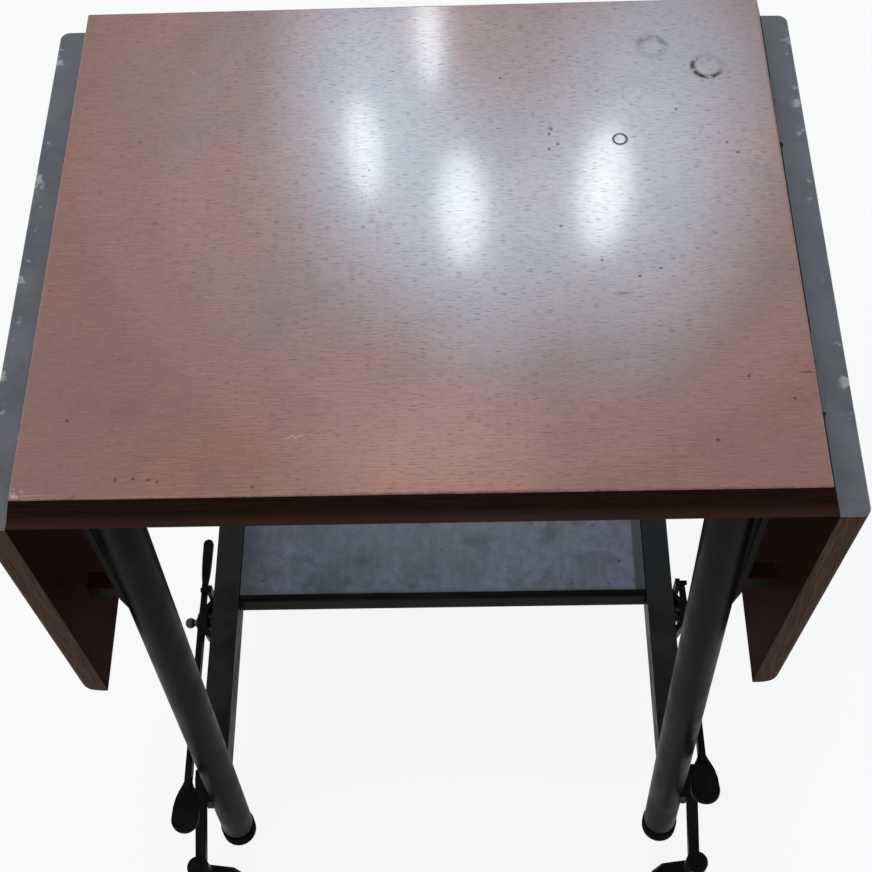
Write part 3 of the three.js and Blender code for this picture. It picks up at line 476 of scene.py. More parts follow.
def cup_ring(tree, place, pixel, radius, width, strength, darkest):
    """A broken ring that is strongest on the side that darkest points to."""
    from_middle = vectors(tree, "SUBTRACT", place, tuple(on_board(pixel)[1]))["Vector"]
    lean = vectors(tree, "DOT_PRODUCT", from_middle, darkest)["Value"]
    side = spread(tree, lean, RING_PALE_SIDE * radius, RING_DARK_SIDE * radius, RING_PALEST, strength)
    ring = both(tree, ring_mark(tree, place, pixel, radius, width), side)
    return both(tree, ring, cloudy(tree, place, RING_BREAKS))


def dark_marks(tree, place):
    """The crack, smear, blister, rings and dots, joined into one mask."""
    total = long_mark(tree, place, CRACK_PIXEL, CRACK_SIZE)
    smear = both(tree, long_mark(tree, place, SMEAR_PIXEL, SMEAR_SIZE), SMEAR_STRENGTH)
    total = either(tree, total, smear)
    total = either(tree, total, ring_mark(tree, place, BLISTER_PIXEL, BLISTER_RADIUS, BLISTER_RIM))
    for ring in CUP_RINGS:
        total = either(tree, total, cup_ring(tree, place, **ring))
    for pixel in DOT_MARKS:
        dot = spread(tree, away_from(tree, place, pixel), DOT_CORE, DOT_RADIUS, DOT_STRENGTH, 0)
        total = either(tree, total, dot)
    return total


def with_pale_marks(tree, place, total):
    """Adds the scuff and the rubbed corner to a mask."""
    for pixel, degrees in SCUFF_STROKES:
        total = either(tree, total, long_mark(tree, place, pixel, SCUFF_SIZE, math.radians(degrees)))
    corner = spread(tree, away_from(tree, place, CORNER_PIXEL), CORNER_CORE, CORNER_REACH, 1, 0)
    return either(tree, total, both(tree, corner, cloudy(tree, place, CORNER_RUBS)))


# %% [markdown]
# ## Lacquered veneer
# Red-brown wood under a thin lacquer. Streaks and pores give the grain, and a grey bloom in the lacquer
# takes some of the red away. The lacquer itself is a coat with its own roughness, so lamps mirror in it
# as soft patches while the wood below stays matt. It is thin over the pores and broken at the marks.

# %% Board and leaf veneer
VENEER_GLOSS, GRAIN_DEPTH = 0.2, 0.00009
WOOD_DARK, WOOD_LIGHT = rgb(0.222, 0.072, 0.042), rgb(0.366, 0.124, 0.074)
PORE_DARK, PORE_SHARE = rgb(0.08, 0.028, 0.02), 0.5
BLOOM, BLOOM_GREY, BLOOM_SHARE = (4.5, 0.34, 0.66), rgb(0.178, 0.104, 0.1), 0.6
SMUDGE, SMUDGE_BROWN, SMUDGE_SHARE = (30, 0.5, 0.72), rgb(0.13, 0.06, 0.052), 0.35
PALE_SPECKS = {"Scale": 70, "Size": 0.08, "Share": 0.12}
SCRATCH_STRENGTH, SPECK_STRENGTH = 0.5, 0.8
PALE_WOOD, PALE_SHARE = rgb(0.52, 0.4, 0.35), 0.8
MARK_BLACK, MARK_SHARE = rgb(0.022, 0.012, 0.01), 0.88
WOOD_ROUGHNESS, BROKEN_ROUGHNESS = (0.36, 0.46), 0.35
LACQUER_ROUGHNESS, LACQUER_AT_PORES, LACQUER_LOST = 0.095, 0.35, 0.4


def veneer(name, grain, marked=False):
    material, tree, shader, place = begin(name, VENEER_GLOSS)
    lines = use(tree, GRAIN, {"Vector": place, **grain})
    bloom = cloudy(tree, place, BLOOM)
    colour = mixed(tree, lines["Streaks"], WOOD_DARK, WOOD_LIGHT)
    colour = tinted(tree, lines["Pores"], PORE_SHARE, colour, PORE_DARK)
    colour = tinted(tree, bloom, BLOOM_SHARE, colour, BLOOM_GREY)
    colour = tinted(tree, cloudy(tree, place, SMUDGE), SMUDGE_SHARE, colour, SMUDGE_BROWN)
    scratch = both(tree, use(tree, SCRATCH, {"Vector": place, **HAIRLINES})["Mask"], SCRATCH_STRENGTH)
    pale = either(tree, scratch, both(tree, specked(tree, place, PALE_SPECKS), SPECK_STRENGTH))
    if marked:
        pale = with_pale_marks(tree, place, pale)
    colour = tinted(tree, pale, PALE_SHARE, colour, PALE_WOOD)
    broken = pale
    if marked:
        marks = dark_marks(tree, place)
        colour = tinted(tree, marks, MARK_SHARE, colour, MARK_BLACK)
        broken = either(tree, pale, marks)
    rough = sums(tree, "ADD", between(tree, bloom, *WOOD_ROUGHNESS), both(tree, broken, BROKEN_ROUGHNESS))
    wire(tree, shader, colour, rough, sums(tree, "SUBTRACT", lines["Streaks"], lines["Pores"]), GRAIN_DEPTH)
    lacquer = between(tree, either(tree, broken, lines["Pores"]), 1, LACQUER_AT_PORES)
    lacquer = sums(tree, "SUBTRACT", lacquer, both(tree, broken, LACQUER_LOST))
    tree.links.new(lacquer, shader.inputs["Coat Weight"])
    shader.inputs["Coat Roughness"].default_value = LACQUER_ROUGHNESS
    return material


# %% [markdown]
# ## Dark wood
# Edges and inner faces are the same wood with darker, thicker and duller lacquer, and no polish to speak
# of. Pale rubs sit where something has knocked them. The board's edges lighten to brown along their lower
# border, where hands have worn the dark colour away. A leaf's joint edge, which shows beside the board, is
# dark paint with a painted bluish reflection of the sky laid into its colour, so it reads slate grey.

# %% Edges and inner faces
DARK_WOOD_GLOSS, RUB_DULLS = 0.004, 0.2
RUBS, RUB_BROWN, RUB_SHARE = (60, 0.66, 0.76), rgb(0.13, 0.075, 0.055), 0.3
WORN_FADE_BELOW, WORN_FADE_ABOVE = 0.006, 0.003
WORN_BROWN, WORN_SHARE = rgb(0.062, 0.028, 0.022), 0.7
ARRIS_GLOSS, ARRIS_ROUGHNESS, ARRIS_DEPTH = 0.2, (0.4, 0.75), 0.0001
ARRIS_CHIPS, ARRIS_DARK, ARRIS_LIGHT = (90, 0.3, 0.62), rgb(0.17, 0.075, 0.058), rgb(0.34, 0.19, 0.155)
ARRIS_FINE, ARRIS_BROWN, ARRIS_SHARE = (420, 0.45, 0.65), rgb(0.09, 0.04, 0.03), 0.35
JOINT_INNER, JOINT_OUTER = 0.2302, 0.2478
JOINT_GLOSS, JOINT_ROUGHNESS, JOINT_DEPTH = 0.3, (0.45, 0.62), 0.0001
# The slate colours are dark paint with a painted bluish sky reflection mixed in.
JOINT_CLOUD, SLATE_AND_SKY_SHEEN_DARK, SLATE_AND_SKY_SHEEN_LIGHT = (30, 0.32, 0.7), rgb(0.084, 0.08, 0.093), rgb(0.138, 0.132, 0.15)
JOINT_INNER_FADE, JOINT_INNER_GREY, JOINT_INNER_SHARE = 0.003, rgb(0.12, 0.12, 0.112), 0.5
JOINT_CHIPS_FROM, JOINT_CHIPS_FULL = 0.008, 0.002
JOINT_CHIPS, CHIP_WHITE, CHIP_SHARE = (75, 0.57, 0.63), rgb(0.42, 0.4, 0.37), 0.8
JOINT_DOTS = {"Scale": 130, "Size": 0.16, "Share": 0.1}
JOINT_DOT_GREY, JOINT_DOT_SHARE = rgb(0.34, 0.32, 0.29), 0.6


def dark_wood(name, dark, light, grain, dull, worn_at=None):
    """Dull wood; worn_at is the height where the brown of a worn lower border fades."""
    material, tree, shader, place = begin(name, DARK_WOOD_GLOSS)
    streaks = use(tree, GRAIN, {"Vector": place, **grain})["Streaks"]
    rub = cloudy(tree, place, RUBS)
    colour = tinted(tree, rub, RUB_SHARE, mixed(tree, streaks, dark, light), RUB_BROWN)
    if worn_at is not None:
        height = axis_of(tree, place, "Z")
        low = spread(tree, height, worn_at - WORN_FADE_BELOW, worn_at + WORN_FADE_ABOVE, 1, 0)
        colour = tinted(tree, low, WORN_SHARE, colour, WORN_BROWN)
    wire(tree, shader, colour, between(tree, rub, dull, dull + RUB_DULLS), streaks, GRAIN_DEPTH)
    return material


def worn_arris():
    """A sharp edge that has lost its lacquer in places and shows pale wood."""
    material, tree, shader, place = begin("worn_arris", ARRIS_GLOSS)
    chips = cloudy(tree, place, ARRIS_CHIPS)
    colour = mixed(tree, chips, ARRIS_DARK, ARRIS_LIGHT)
    colour = tinted(tree, cloudy(tree, place, ARRIS_FINE), ARRIS_SHARE, colour, ARRIS_BROWN)
    wire(tree, shader, colour, between(tree, chips, *ARRIS_ROUGHNESS), chips, ARRIS_DEPTH)
    return material


def joint_edge():
    """The leaf's joint edge: dark paint with a painted bluish sky reflection, slate grey, paler by the board
    and chipped white along its outer side.
    """
    material, tree, shader, place = begin("joint_edge", JOINT_GLOSS)
    across = unsigned(tree, axis_of(tree, place, "X"))
    cloud = cloudy(tree, place, JOINT_CLOUD)
    # Painted reflection: the slate colour holds a bluish sky sheen as well as the dark paint.
    colour = mixed(tree, cloud, SLATE_AND_SKY_SHEEN_DARK, SLATE_AND_SKY_SHEEN_LIGHT)
    inner = spread(tree, across, JOINT_INNER, JOINT_INNER + JOINT_INNER_FADE, 1, 0)
    colour = tinted(tree, inner, JOINT_INNER_SHARE, colour, JOINT_INNER_GREY)
    outer = spread(tree, across, JOINT_OUTER - JOINT_CHIPS_FROM, JOINT_OUTER - JOINT_CHIPS_FULL)
    chips = both(tree, cloudy(tree, place, JOINT_CHIPS), outer)
    colour = tinted(tree, chips, CHIP_SHARE, colour, CHIP_WHITE)
    colour = tinted(tree, specked(tree, place, JOINT_DOTS), JOINT_DOT_SHARE, colour, JOINT_DOT_GREY)
    wire(tree, shader, colour, between(tree, cloud, *JOINT_ROUGHNESS), cloud, JOINT_DEPTH)
    return material


# %% [markdown]
# ## Paint, steel and rubber
# The frame's enamel is nearly black, with a few chips that show brown primer. The tray is the same steel
# under worn blue-grey paint, streaked from front to back where things were pushed in, with painted shade
# along its ends by the rails and along its front. Fastenings and pivots are steel that has browned in
# clouds, and the tips and tyres are dull rubber.

# %% Paint, tray, steel and rubber
FRAME_CLOUD, FRAME_ROUGHNESS = (26, 0.35, 0.7), (0.32, 0.46)
FRAME_DARK, FRAME_LIGHT = rgb(0.0062, 0.0057, 0.0051), rgb(0.0138, 0.0127, 0.0113)
FRAME_CHIPS, PRIMER_BROWN, PRIMER_SHARE = (120, 0.71, 0.75), rgb(0.08, 0.05, 0.034), 0.6
FRAME_RIPPLE, FRAME_DEPTH = (420, 0.3, 0.7), 0.00005
TRAY_LOW, TRAY_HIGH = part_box("tray")
# Widths and strengths of the tray's painted shade by the rails and along its front.
TRAY_RIGHT_SHADE_BAND, TRAY_SHADE_BAND_BLUR = 0.009, 0.001
TRAY_END_SHADE, TRAY_SHADE_STRENGTH = 0.036, 0.8
TRAY_FRONT_ROLL_SHADE, TRAY_ROLL_SHADE_STRENGTH = 0.009, 0.75
TRAY_DRAG = {"Stretch": (150, 12, 150), "Pore Stretch": (420, 40, 420)}
TRAY_DRAG_BLUE, TRAY_DRAG_SHARE = rgb(0.19, 0.182, 0.255), 0.45
TRAY_CLOUD, TRAY_DARK, TRAY_LIGHT = (13, 0.36, 0.66), rgb(0.04, 0.038, 0.054), rgb(0.18, 0.172, 0.25)
TRAY_STAIN, TRAY_STAIN_GREY, TRAY_STAIN_SHARE = (40, 0.5, 0.64), rgb(0.05, 0.041, 0.052), 0.45
TRAY_MOTTLE, TRAY_MOTTLE_GREY, TRAY_MOTTLE_SHARE = (120, 0.4, 0.64), rgb(0.06, 0.053, 0.072), 0.4
TRAY_DOTS = {"Scale": 140, "Size": 0.26, "Share": 0.16}
TRAY_DOT_BLACK, TRAY_DOT_SHARE = rgb(0.012, 0.011, 0.013), 0.8
TRAY_SHADE_BLACK, TRAY_SHADE_SHARE = rgb(0.014, 0.013, 0.014), 0.9
TRAY_ROUGHNESS, TRAY_DEPTH = (0.36, 0.5), 0.00006
STEEL_DEPTH = 0.00005
RUBBER_GLOSS, RUBBER_ROUGHNESS = 0.003, (0.6, 0.85)
RUBBER_BLACK = rgb(0.003, 0.003, 0.003)
RUBBER_DUST, DUST_GREY, DUST_SHARE = (60, 0.55, 0.8), rgb(0.03, 0.028, 0.026), 0.3
RUBBER_SKIN, RUBBER_DEPTH = (600, 0.3, 0.7), 0.00008


def frame_paint(name, gloss):
    material, tree, shader, place = begin(name, gloss)
    cloud = cloudy(tree, place, FRAME_CLOUD)
    colour = mixed(tree, cloud, FRAME_DARK, FRAME_LIGHT)
    colour = tinted(tree, cloudy(tree, place, FRAME_CHIPS), PRIMER_SHARE, colour, PRIMER_BROWN)
    ripple = cloudy(tree, place, FRAME_RIPPLE)
    wire(tree, shader, colour, between(tree, cloud, *FRAME_ROUGHNESS), ripple, FRAME_DEPTH)
    return material


def tray_painted_shade(tree, place):
    """A mask of painted shade on the tray: a band by the right rail, a soft shade by the left rail, a darker
    roll in front.
    """
    across, along = axis_of(tree, place, "X"), axis_of(tree, place, "Y")
    left, front, right_shade_from = TRAY_LOW[0], TRAY_LOW[1], TRAY_HIGH[0] - TRAY_RIGHT_SHADE_BAND
    right_shade = spread(tree, across, right_shade_from - TRAY_SHADE_BAND_BLUR, right_shade_from + TRAY_SHADE_BAND_BLUR)
    shade = spread(tree, across, left, left + TRAY_END_SHADE, TRAY_SHADE_STRENGTH, 0)
    front_shade = spread(tree, along, front, front + TRAY_FRONT_ROLL_SHADE, TRAY_ROLL_SHADE_STRENGTH, 0)
    return either(tree, right_shade, either(tree, shade, front_shade))


def tray_paint():
    material, tree, shader, place = begin("tray_paint")
    drag = use(tree, GRAIN, {"Vector": place, **TRAY_DRAG})["Streaks"]
    cloud = cloudy(tree, place, TRAY_CLOUD)
    stain = cloudy(tree, place, TRAY_STAIN)
    colour = mixed(tree, cloud, TRAY_DARK, TRAY_LIGHT)
    colour = tinted(tree, drag, TRAY_DRAG_SHARE, colour, TRAY_DRAG_BLUE)
    colour = tinted(tree, cloudy(tree, place, TRAY_MOTTLE), TRAY_MOTTLE_SHARE, colour, TRAY_MOTTLE_GREY)
    colour = tinted(tree, stain, TRAY_STAIN_SHARE, colour, TRAY_STAIN_GREY)
    colour = tinted(tree, specked(tree, place, TRAY_DOTS), TRAY_DOT_SHARE, colour, TRAY_DOT_BLACK)
    # Painted shade: the tray darkens by the rails at both ends and along its front.
    colour = tinted(tree, tray_painted_shade(tree, place), TRAY_SHADE_SHARE, colour, TRAY_SHADE_BLACK)
    rough = between(tree, either(tree, stain, cloud), *TRAY_ROUGHNESS)
    wire(tree, shader, colour, rough, drag, TRAY_DEPTH)
    return material


def cloudy_steel(name, cloud, bright, tarnished, metal, roughness):
    """Steel that tarnishes in clouds; metal and roughness are pairs, for bright and tarnished places."""
    material, tree, shader, place = begin(name)
    tarnish = cloudy(tree, place, cloud)
    colour = mixed(tree, tarnish, bright, tarnished)
    tree.links.new(between(tree, tarnish, *metal), shader.inputs["Metallic"])
    wire(tree, shader, colour, between(tree, tarnish, *roughness), tarnish, STEEL_DEPTH)
    return material


def black_rubber():
    material, tree, shader, place = begin("black_rubber", RUBBER_GLOSS)
    dust = cloudy(tree, place, RUBBER_DUST)
    colour = tinted(tree, dust, DUST_SHARE, RUBBER_BLACK, DUST_GREY)
    skin = cloudy(tree, place, RUBBER_SKIN)
    wire(tree, shader, colour, between(tree, dust, *RUBBER_ROUGHNESS), skin, RUBBER_DEPTH)
    return material


# %% [markdown]
# ## A shelf of finishes
# Every finish is mixed once and kept under the name that the pieces ask for. The grain runs along x on the
# board, along y on its ends and along z on the hanging leaves. The steels differ only in their dials.

# %% Mix the finishes
EDGE_WOOD = {"dark": rgb(0.0095, 0.0048, 0.0036), "light": rgb(0.024, 0.0115, 0.0085)}
INNER_WOOD = {"dark": rgb(0.015, 0.0048, 0.003), "light": rgb(0.038, 0.012, 0.007)}
RIM_WOOD = {"dark": rgb(0.048, 0.027, 0.02), "light": rgb(0.115, 0.068, 0.05)}
UNDER_WOOD = {"dark": rgb(0.05, 0.027, 0.018), "light": rgb(0.1, 0.058, 0.038)}
WORN_BORDER = 0.009
WORN_AT = BOARD_LOW[2] + WORN_BORDER
FRAME_GLOSS, RAIL_GLOSS = 0.014, 0.14
BROWNED = {
    "cloud": (90, 0.4, 0.7),
    "bright": rgb(0.04, 0.037, 0.034),
    "tarnished": rgb(0.02, 0.015, 0.012),
    "metal": (0.8, 0.2),
    "roughness": (0.34, 0.6),
}
BARE = {"cloud": (90, 0.45, 0.7), "roughness": (0.36, 0.6)}
AXLE = {"bright": rgb(0.24, 0.23, 0.22), "tarnished": rgb(0.07, 0.045, 0.03), "metal": (1.0, 0.4)}
HINGE = {"bright": rgb(0.085, 0.083, 0.092), "tarnished": rgb(0.05, 0.045, 0.045), "metal": (0.3, 0.12)}
FINISH = {
    "veneer": veneer("board_veneer", X_GRAIN, marked=True),
    "arris": worn_arris(),
    "board_edge_x": dark_wood("board_end", **EDGE_WOOD, grain=Y_GRAIN, dull=0.45, worn_at=WORN_AT),
    "board_edge_y": dark_wood("board_front", **EDGE_WOOD, grain=X_GRAIN, dull=0.42, worn_at=WORN_AT),
    "underside": dark_wood("board_underside", **UNDER_WOOD, grain=X_GRAIN, dull=0.6),
    "joint": joint_edge(),
    "leaf_inner": dark_wood("leaf_inner", **INNER_WOOD, grain=Z_GRAIN, dull=0.45),
    "leaf_outer": veneer("leaf_veneer", Z_GRAIN),
    "leaf_rim": dark_wood("leaf_rim", **RIM_WOOD, grain=Z_GRAIN, dull=0.45),
    "black_paint": frame_paint("frame_paint", FRAME_GLOSS),
    "rail_paint": frame_paint("rail_paint", RAIL_GLOSS),
    "tray_paint": tray_paint(),
    "steel": cloudy_steel("browned_steel", **BROWNED),
    "axle_steel": cloudy_steel("axle_steel", **BARE, **AXLE),
    "hinge_steel": cloudy_steel("hinge_steel", **BARE, **HINGE),
    "rubber": black_rubber(),
}
print("mixed", len(FINISH), "finishes")

# %% [markdown]
# ## Softened pieces
# A solid from the frame has knife edges, which never catch the light. Each piece is copied, its loose
# triangles are merged into whole faces, and a narrow bevel rounds its edges as paint, pressing and
# handling do on the real thing. The copy then stands for the solid and rides on the same body. Most metal
# pieces have one finish, but the rails' tops shine more and the support arms end in wood.

# %% Bevelled copies
BODY_OF = {node: body for body, nodes in frame["record"]["behaviour"]["bodies"].items() for node in nodes}
SLOT_OF = {row["node"]: row["material_slot"] for row in frame["record"]["subparts"]}
SHARP_ANGLE, FLAT_ANGLE = math.radians(38), math.radians(0.5)
WELD = 1e-6
BEVELS = {"black_paint": 0.0006, "tray_paint": 0.0005, "steel": 0.0003, "rubber": 0.0008}
FINISH_OF_ENDING = {"axle": "axle_steel", "hinge_plate": "hinge_steel", "hinge_flap": "hinge_steel"}
FACING = 0.97
TOE_FROM = 0.206


def merged_copy(node):
    mesh = NODES[node].data.copy()
    shape = bmesh.new()
    shape.from_mesh(mesh)
    bmesh.ops.remove_doubles(shape, verts=shape.verts, dist=WELD)
    bmesh.ops.dissolve_limit(shape, angle_limit=FLAT_ANGLE, verts=shape.verts, edges=shape.edges)
    shape.to_mesh(mesh)
    shape.free()
    mesh.materials.clear()
    return mesh


def made_plain(piece):
    """Turns a piece's live modifiers into a plain mesh."""
    live = piece.evaluated_get(bpy.context.evaluated_depsgraph_get())
    mesh = bpy.data.meshes.new_from_object(live)
    piece.modifiers.clear()
    piece.data = mesh


def stands_for(piece, node):
    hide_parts(node)
    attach(piece, BODY_OF[node])


def softened(node, width, segments=2):
    piece = bpy.data.objects.new(node + "_finished", merged_copy(node))
    piece.data.shade_smooth()
    piece.data.set_sharp_from_angle(angle=SHARP_ANGLE)
    bpy.context.collection.objects.link(piece)
    bevel = piece.modifiers.new("edge", "BEVEL")
    bevel.width = width
    bevel.segments = segments
    bevel.limit_method = "ANGLE"
    bevel.angle_limit = SHARP_ANGLE
    bevel.harden_normals = True
    made_plain(piece)
    return piece


def paint_faces(piece, names, choose):
    """Gives each face the finish that choose picks for it."""
    mesh = piece.data
    mesh.materials.clear()
    for name in names:
        mesh.materials.append(FINISH[name])
    for face in mesh.polygons:
        face.material_index = names.index(choose(face))


def rail_side(face):
    """The rails' upper faces are rubbed to a dull shine by what was pushed over them."""
    return "rail_paint" if face.normal.z > FACING else "black_paint"


def support_side(face):
    """A support arm ends in a toe of dark wood, which is kind to the leaf."""
    return "leaf_inner" if abs(face.center.x) > TOE_FROM else "black_paint"


plain_nodes = [node for node, slot in SLOT_OF.items() if slot in BEVELS and node != "tray"]
for node in plain_nodes:
    slot = SLOT_OF[node]
    piece = softened(node, BEVELS[slot])
    finish = next((f for ending, f in FINISH_OF_ENDING.items() if node.endswith(ending)), slot)
    if node.endswith("side_rail"):
        paint_faces(piece, ["rail_paint", "black_paint"], rail_side)
    elif node.endswith("support_arm"):
        paint_faces(piece, ["leaf_inner", "black_paint"], support_side)
    else:
        paint_faces(piece, [finish], lambda face: finish)
    stands_for(piece, node)
print("softened", len(plain_nodes), "metal and rubber pieces")

# %% [markdown]
# ## Board, leaves and tray
# These three carry more than one finish, because a face is worn by what touches it. Each face of the
# softened copy takes the finish that its direction calls for.

# %% Board, leaves and tray
ARRIS_HEIGHT = 0.0015
WOOD_BEVEL = {"width": 0.0009, "segments": 3}


def board_side(face):
    normal = face.normal
    if normal.z > FACING:
        return "veneer"
    if normal.z < -FACING:
        return "underside"
    on_end = abs(normal.x) > abs(normal.y)
    if face.center.z > BOARD_HIGH[2] - ARRIS_HEIGHT:
        return "veneer" if on_end else "arris"
    return "board_edge_x" if on_end else "board_edge_y"


def leaf_side(inward):
    """A choice of finish for a leaf whose inner face looks along x with the sign of inward."""

    def choose(face):
        if face.normal.z > FACING:
            return "joint"
        if face.normal.x * inward > FACING:
            return "leaf_inner"
        return "leaf_outer" if face.normal.x * inward < -FACING else "leaf_rim"

    return choose


def tray_side(face):
    return "tray_paint" if face.normal.z > FACING else "black_paint"


board = softened("top_board", **WOOD_BEVEL)
paint_faces(board, ["veneer", "underside", "arris", "board_edge_x", "board_edge_y"], board_side)
stands_for(board, "top_board")

for side, inward in (("left", 1), ("right", -1)):
    leaf = softened(side + "_leaf", **WOOD_BEVEL)
    paint_faces(leaf, ["joint", "leaf_inner", "leaf_outer", "leaf_rim"], leaf_side(inward))
    stands_for(leaf, side + "_leaf")

tray = softened("tray", BEVELS["tray_paint"])
paint_faces(tray, ["tray_paint", "black_paint"], tray_side)
stands_for(tray, "tray")
print("finished the board, both leaves and the tray")

# %% [markdown]
# ## Screws and rivets
# Wood screws hold the hinges and the angle frame, and rivets join the rails to the tray. One small node tree
# makes them all: it sets a domed head on every point, aims it along the point's own direction, turns each
# slot its own way and cuts it in. The cutter stands half above the dome and is longer than the head is
# wide. A rivet is the same head with no slot. The Random Value node's sockets are found by number too.

# %% A tree of fastener heads
HEAD_SEGMENTS, HEAD_RINGS = 16, 8
CUTTER_DEPTHS, CUTTER_RADII = 2, 3
TWIST_SEED, RANDOM_MAX, RANDOM_RESULT = 7, 3, 1
GEOMETRY, MATERIAL = "NodeSocketGeometry", "NodeSocketMaterial"
HEAD_SIZES = ("Radius", "Height", "Slot Width", "Slot Depth")
HEAD_INPUTS = {"Points": GEOMETRY, **dict.fromkeys(HEAD_SIZES, FLOAT), "Finish": MATERIAL}


def xyz(tree, x=0.0, y=0.0, z=0.0):
    return add(tree, "ShaderNodeCombineXYZ", {"X": x, "Y": y, "Z": z}).outputs[0]


def domed_head(tree, given):
    """A flattened ball, with a slot cut into its top if the slot has a depth."""
    ball = {"Segments": HEAD_SEGMENTS, "Rings": HEAD_RINGS, "Radius": 1.0}
    ball = add(tree, "GeometryNodeMeshUVSphere", ball).outputs["Mesh"]
    size = xyz(tree, given["Radius"], given["Radius"], given["Height"])
    dome = add(tree, "GeometryNodeTransform", {"Geometry": ball, "Scale": size}).outputs[0]
    long = sums(tree, "MULTIPLY", given["Radius"], CUTTER_RADII)
    deep = sums(tree, "MULTIPLY", given["Slot Depth"], CUTTER_DEPTHS)
    bar = xyz(tree, long, given["Slot Width"], deep)
    block = add(tree, "GeometryNodeMeshCube", {"Size": bar}).outputs["Mesh"]
    raised = {"Geometry": block, "Translation": xyz(tree, z=given["Height"])}
    cutter = add(tree, "GeometryNodeTransform", raised).outputs[0]
    cut = {"Mesh 1": dome, "Mesh 2": cutter}
    slotted = add(tree, "GeometryNodeMeshBoolean", cut, operation="DIFFERENCE").outputs["Mesh"]
    has_slot = sums(tree, "GREATER_THAN", given["Slot Depth"], 0)
    choice = {"Switch": has_slot, "False": dome, "True": slotted}
    return add(tree, "GeometryNodeSwitch", choice, input_type="GEOMETRY").outputs[0]


def head_tree():
    tree = bpy.data.node_groups.new("fastener_heads", "GeometryNodeTree")
    for label, kind in HEAD_INPUTS.items():
        tree.interface.new_socket(label, in_out="INPUT", socket_type=kind)
    tree.interface.new_socket("Heads", in_out="OUTPUT", socket_type=GEOMETRY)
    given = tree.nodes.new("NodeGroupInput").outputs
    head = domed_head(tree, given)
    aim = add(tree, "GeometryNodeInputNamedAttribute", {"Name": "aim"}, data_type="FLOAT_VECTOR")
    stand = add(tree, "FunctionNodeAlignRotationToVector", {"Vector": aim.outputs["Attribute"]}, axis="Z")
    turns = {"Seed": TWIST_SEED, RANDOM_MAX: math.pi}
    angle = add(tree, "FunctionNodeRandomValue", turns, data_type="FLOAT").outputs[RANDOM_RESULT]
    twist = add(tree, "FunctionNodeAxisAngleToRotation", {"Axis": (0, 0, 1), "Angle": angle})
    rotations = {0: stand.outputs[0], 1: twist.outputs[0]}
    turned = add(tree, "FunctionNodeRotateRotation", rotations, rotation_space="LOCAL")
    inputs = {"Points": given["Points"], "Instance": head, "Rotation": turned.outputs[0]}
    copies = add(tree, "GeometryNodeInstanceOnPoints", inputs)
    real = add(tree, "GeometryNodeRealizeInstances", {"Geometry": copies.outputs[0]})
    done = add(tree, "GeometryNodeSetMaterial", {"Geometry": real.outputs[0], "Material": given["Finish"]})
    tree.links.new(done.outputs[0], tree.nodes.new("NodeGroupOutput").inputs["Heads"])
    return tree


HEADS = head_tree()
SOCKET_ID = {item.name: item.identifier for item in HEADS.interface.items_tree if item.in_out == "INPUT"}
print("the head tree has", len(HEADS.nodes), "nodes")

# %% [markdown]
# ## Where the heads sit
# A head needs a point and the way it looks. Both come from the flat face that it sits on, so a leaning leaf
# carries leaning screws. Each place is two shares of the face's sides, first along the depth of the table
# and then across it. Screws in a hinge flap ride on the leaf, and all the others ride on the frame.

# %% Set the heads
DOWNWARD, TABLE_DEPTH = Vector((0, 0, -1)), Vector((0, 1, 0))
HINGE_SCREW = {"Radius": 0.0031, "Height": 0.0009, "Slot Width": 0.0007, "Slot Depth": 0.0005}
FRAME_SCREW = {"Radius": 0.0042, "Height": 0.0022, "Slot Width": 0.001, "Slot Depth": 0.0011}
RAIL_RIVET = {"Radius": 0.004, "Height": 0.0021, "Slot Width": 0.001, "Slot Depth": 0.0}
PLATE_SEATS = [(0.14, 0.2), (0.5, 0.42), (0.86, 0.2)]
FLAP_SEATS = [(0.14, 0.3), (0.5, 0.3), (0.86, 0.3)]
SIDE_SEATS = [(0.16, 0.6), (0.5, 0.6), (0.84, 0.6)]
CROSS_SEATS = [(0.55, 0.14), (0.55, 0.5), (0.55, 0.86)]
RIVET_SEATS = [(0.53, 0.45), (0.84, 0.45)]
ENDS = ("front", "rear")


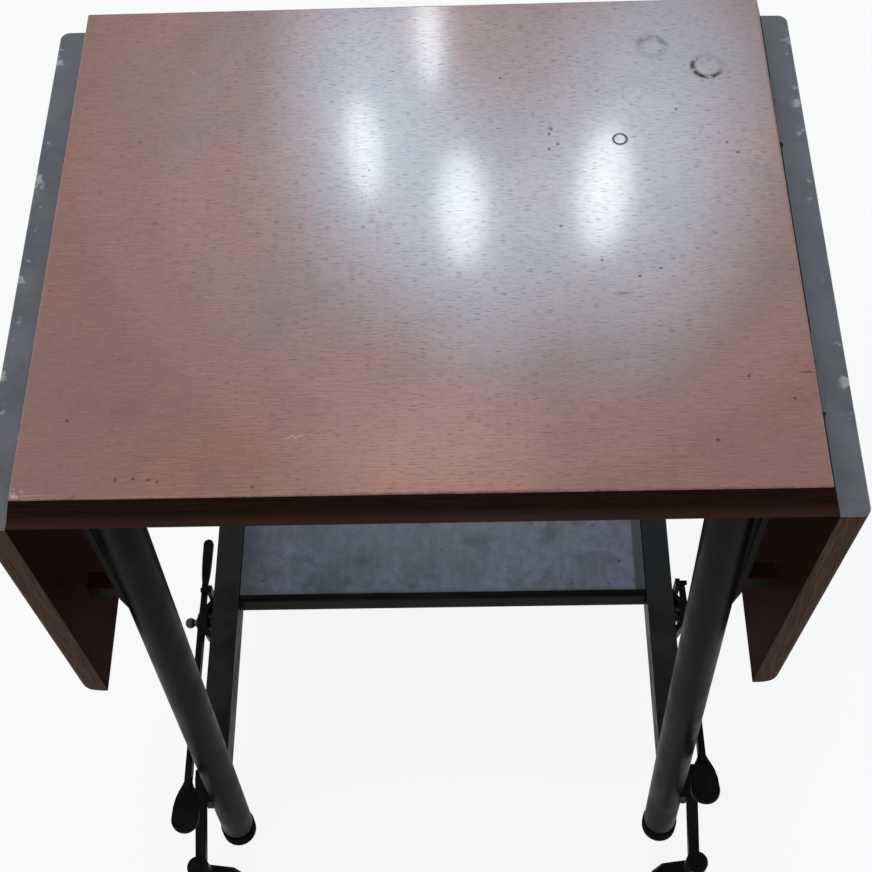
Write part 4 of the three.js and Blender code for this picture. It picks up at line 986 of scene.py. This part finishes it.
def seats(node, toward, places):
    """Points on a piece's largest face that looks a given way; across runs up the face or outward."""
    mesh = merged_copy(node)
    looking = [face for face in mesh.polygons if face.normal.dot(toward) > FACING]
    face = max(looking, key=lambda f: f.area)
    corners = [mesh.vertices[index].co for index in face.vertices]
    across = face.normal.cross(TABLE_DEPTH).normalized()
    if across.dot(Vector((face.center.x, 0, 1))) < 0:
        across = -across
    spans = []
    for axis in (TABLE_DEPTH, across):
        reach = [corner.dot(axis) for corner in corners]
        spans.append((min(reach), max(reach)))
    level = face.normal * corners[0].dot(face.normal)
    found = []
    for shares in places:
        depth, width = [low + (high - low) * share for (low, high), share in zip(spans, shares)]
        found.append((level + TABLE_DEPTH * depth + across * width, face.normal.copy()))
    bpy.data.meshes.remove(mesh)
    return found


def heads(name, points, sizes, finish):
    """Sets a head on every point and turns the result into a plain mesh."""
    mesh = bpy.data.meshes.new(name)
    mesh.from_pydata([tuple(place) for place, aim in points], [], [])
    aims = mesh.attributes.new("aim", "FLOAT_VECTOR", "POINT")
    for index, (place, aim) in enumerate(points):
        aims.data[index].vector = aim
    piece = bpy.data.objects.new(name, mesh)
    live = piece.modifiers.new("heads", "NODES")
    live.node_group = HEADS
    for label, value in {**sizes, "Finish": FINISH[finish]}.items():
        live[SOCKET_ID[label]] = value
    bpy.context.collection.objects.link(piece)
    made_plain(piece)
    return piece


hinge_points, frame_points, rivet_points = [], [], []
for end in ENDS:
    frame_points += seats(end + "_top_angle", DOWNWARD, CROSS_SEATS)
for side, outward in (("left", -1), ("right", 1)):
    flap_points = []
    for end in ENDS:
        hinge_points += seats(f"{side}_{end}_hinge_plate", DOWNWARD, PLATE_SEATS)
        flap_points += seats(f"{side}_{end}_hinge_flap", Vector((-outward, 0, 0)), FLAP_SEATS)
    frame_points += seats(side + "_top_angle", DOWNWARD, SIDE_SEATS)
    rivet_points += seats(side + "_side_rail", Vector((outward, 0, 0)), RIVET_SEATS)
    screws = heads(side + "_leaf_screws", flap_points, HINGE_SCREW, "hinge_steel")
    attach(screws, BODY_OF[side + "_leaf"])
for name, points, sizes, finish, slot in (
    ("hinge_screws", hinge_points, HINGE_SCREW, "hinge_steel", "steel"),
    ("frame_screws", frame_points, FRAME_SCREW, "steel", "steel"),
    ("rail_rivets", rivet_points, RAIL_RIVET, "black_paint", "black_paint"),
):
    piece = heads(name, points, sizes, finish)
    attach(piece, BODY_OF["top_board"])
screw_count = 2 * len(flap_points) + len(hinge_points) + len(frame_points)
print("set", screw_count, "screws and", len(rivet_points), "rivets")
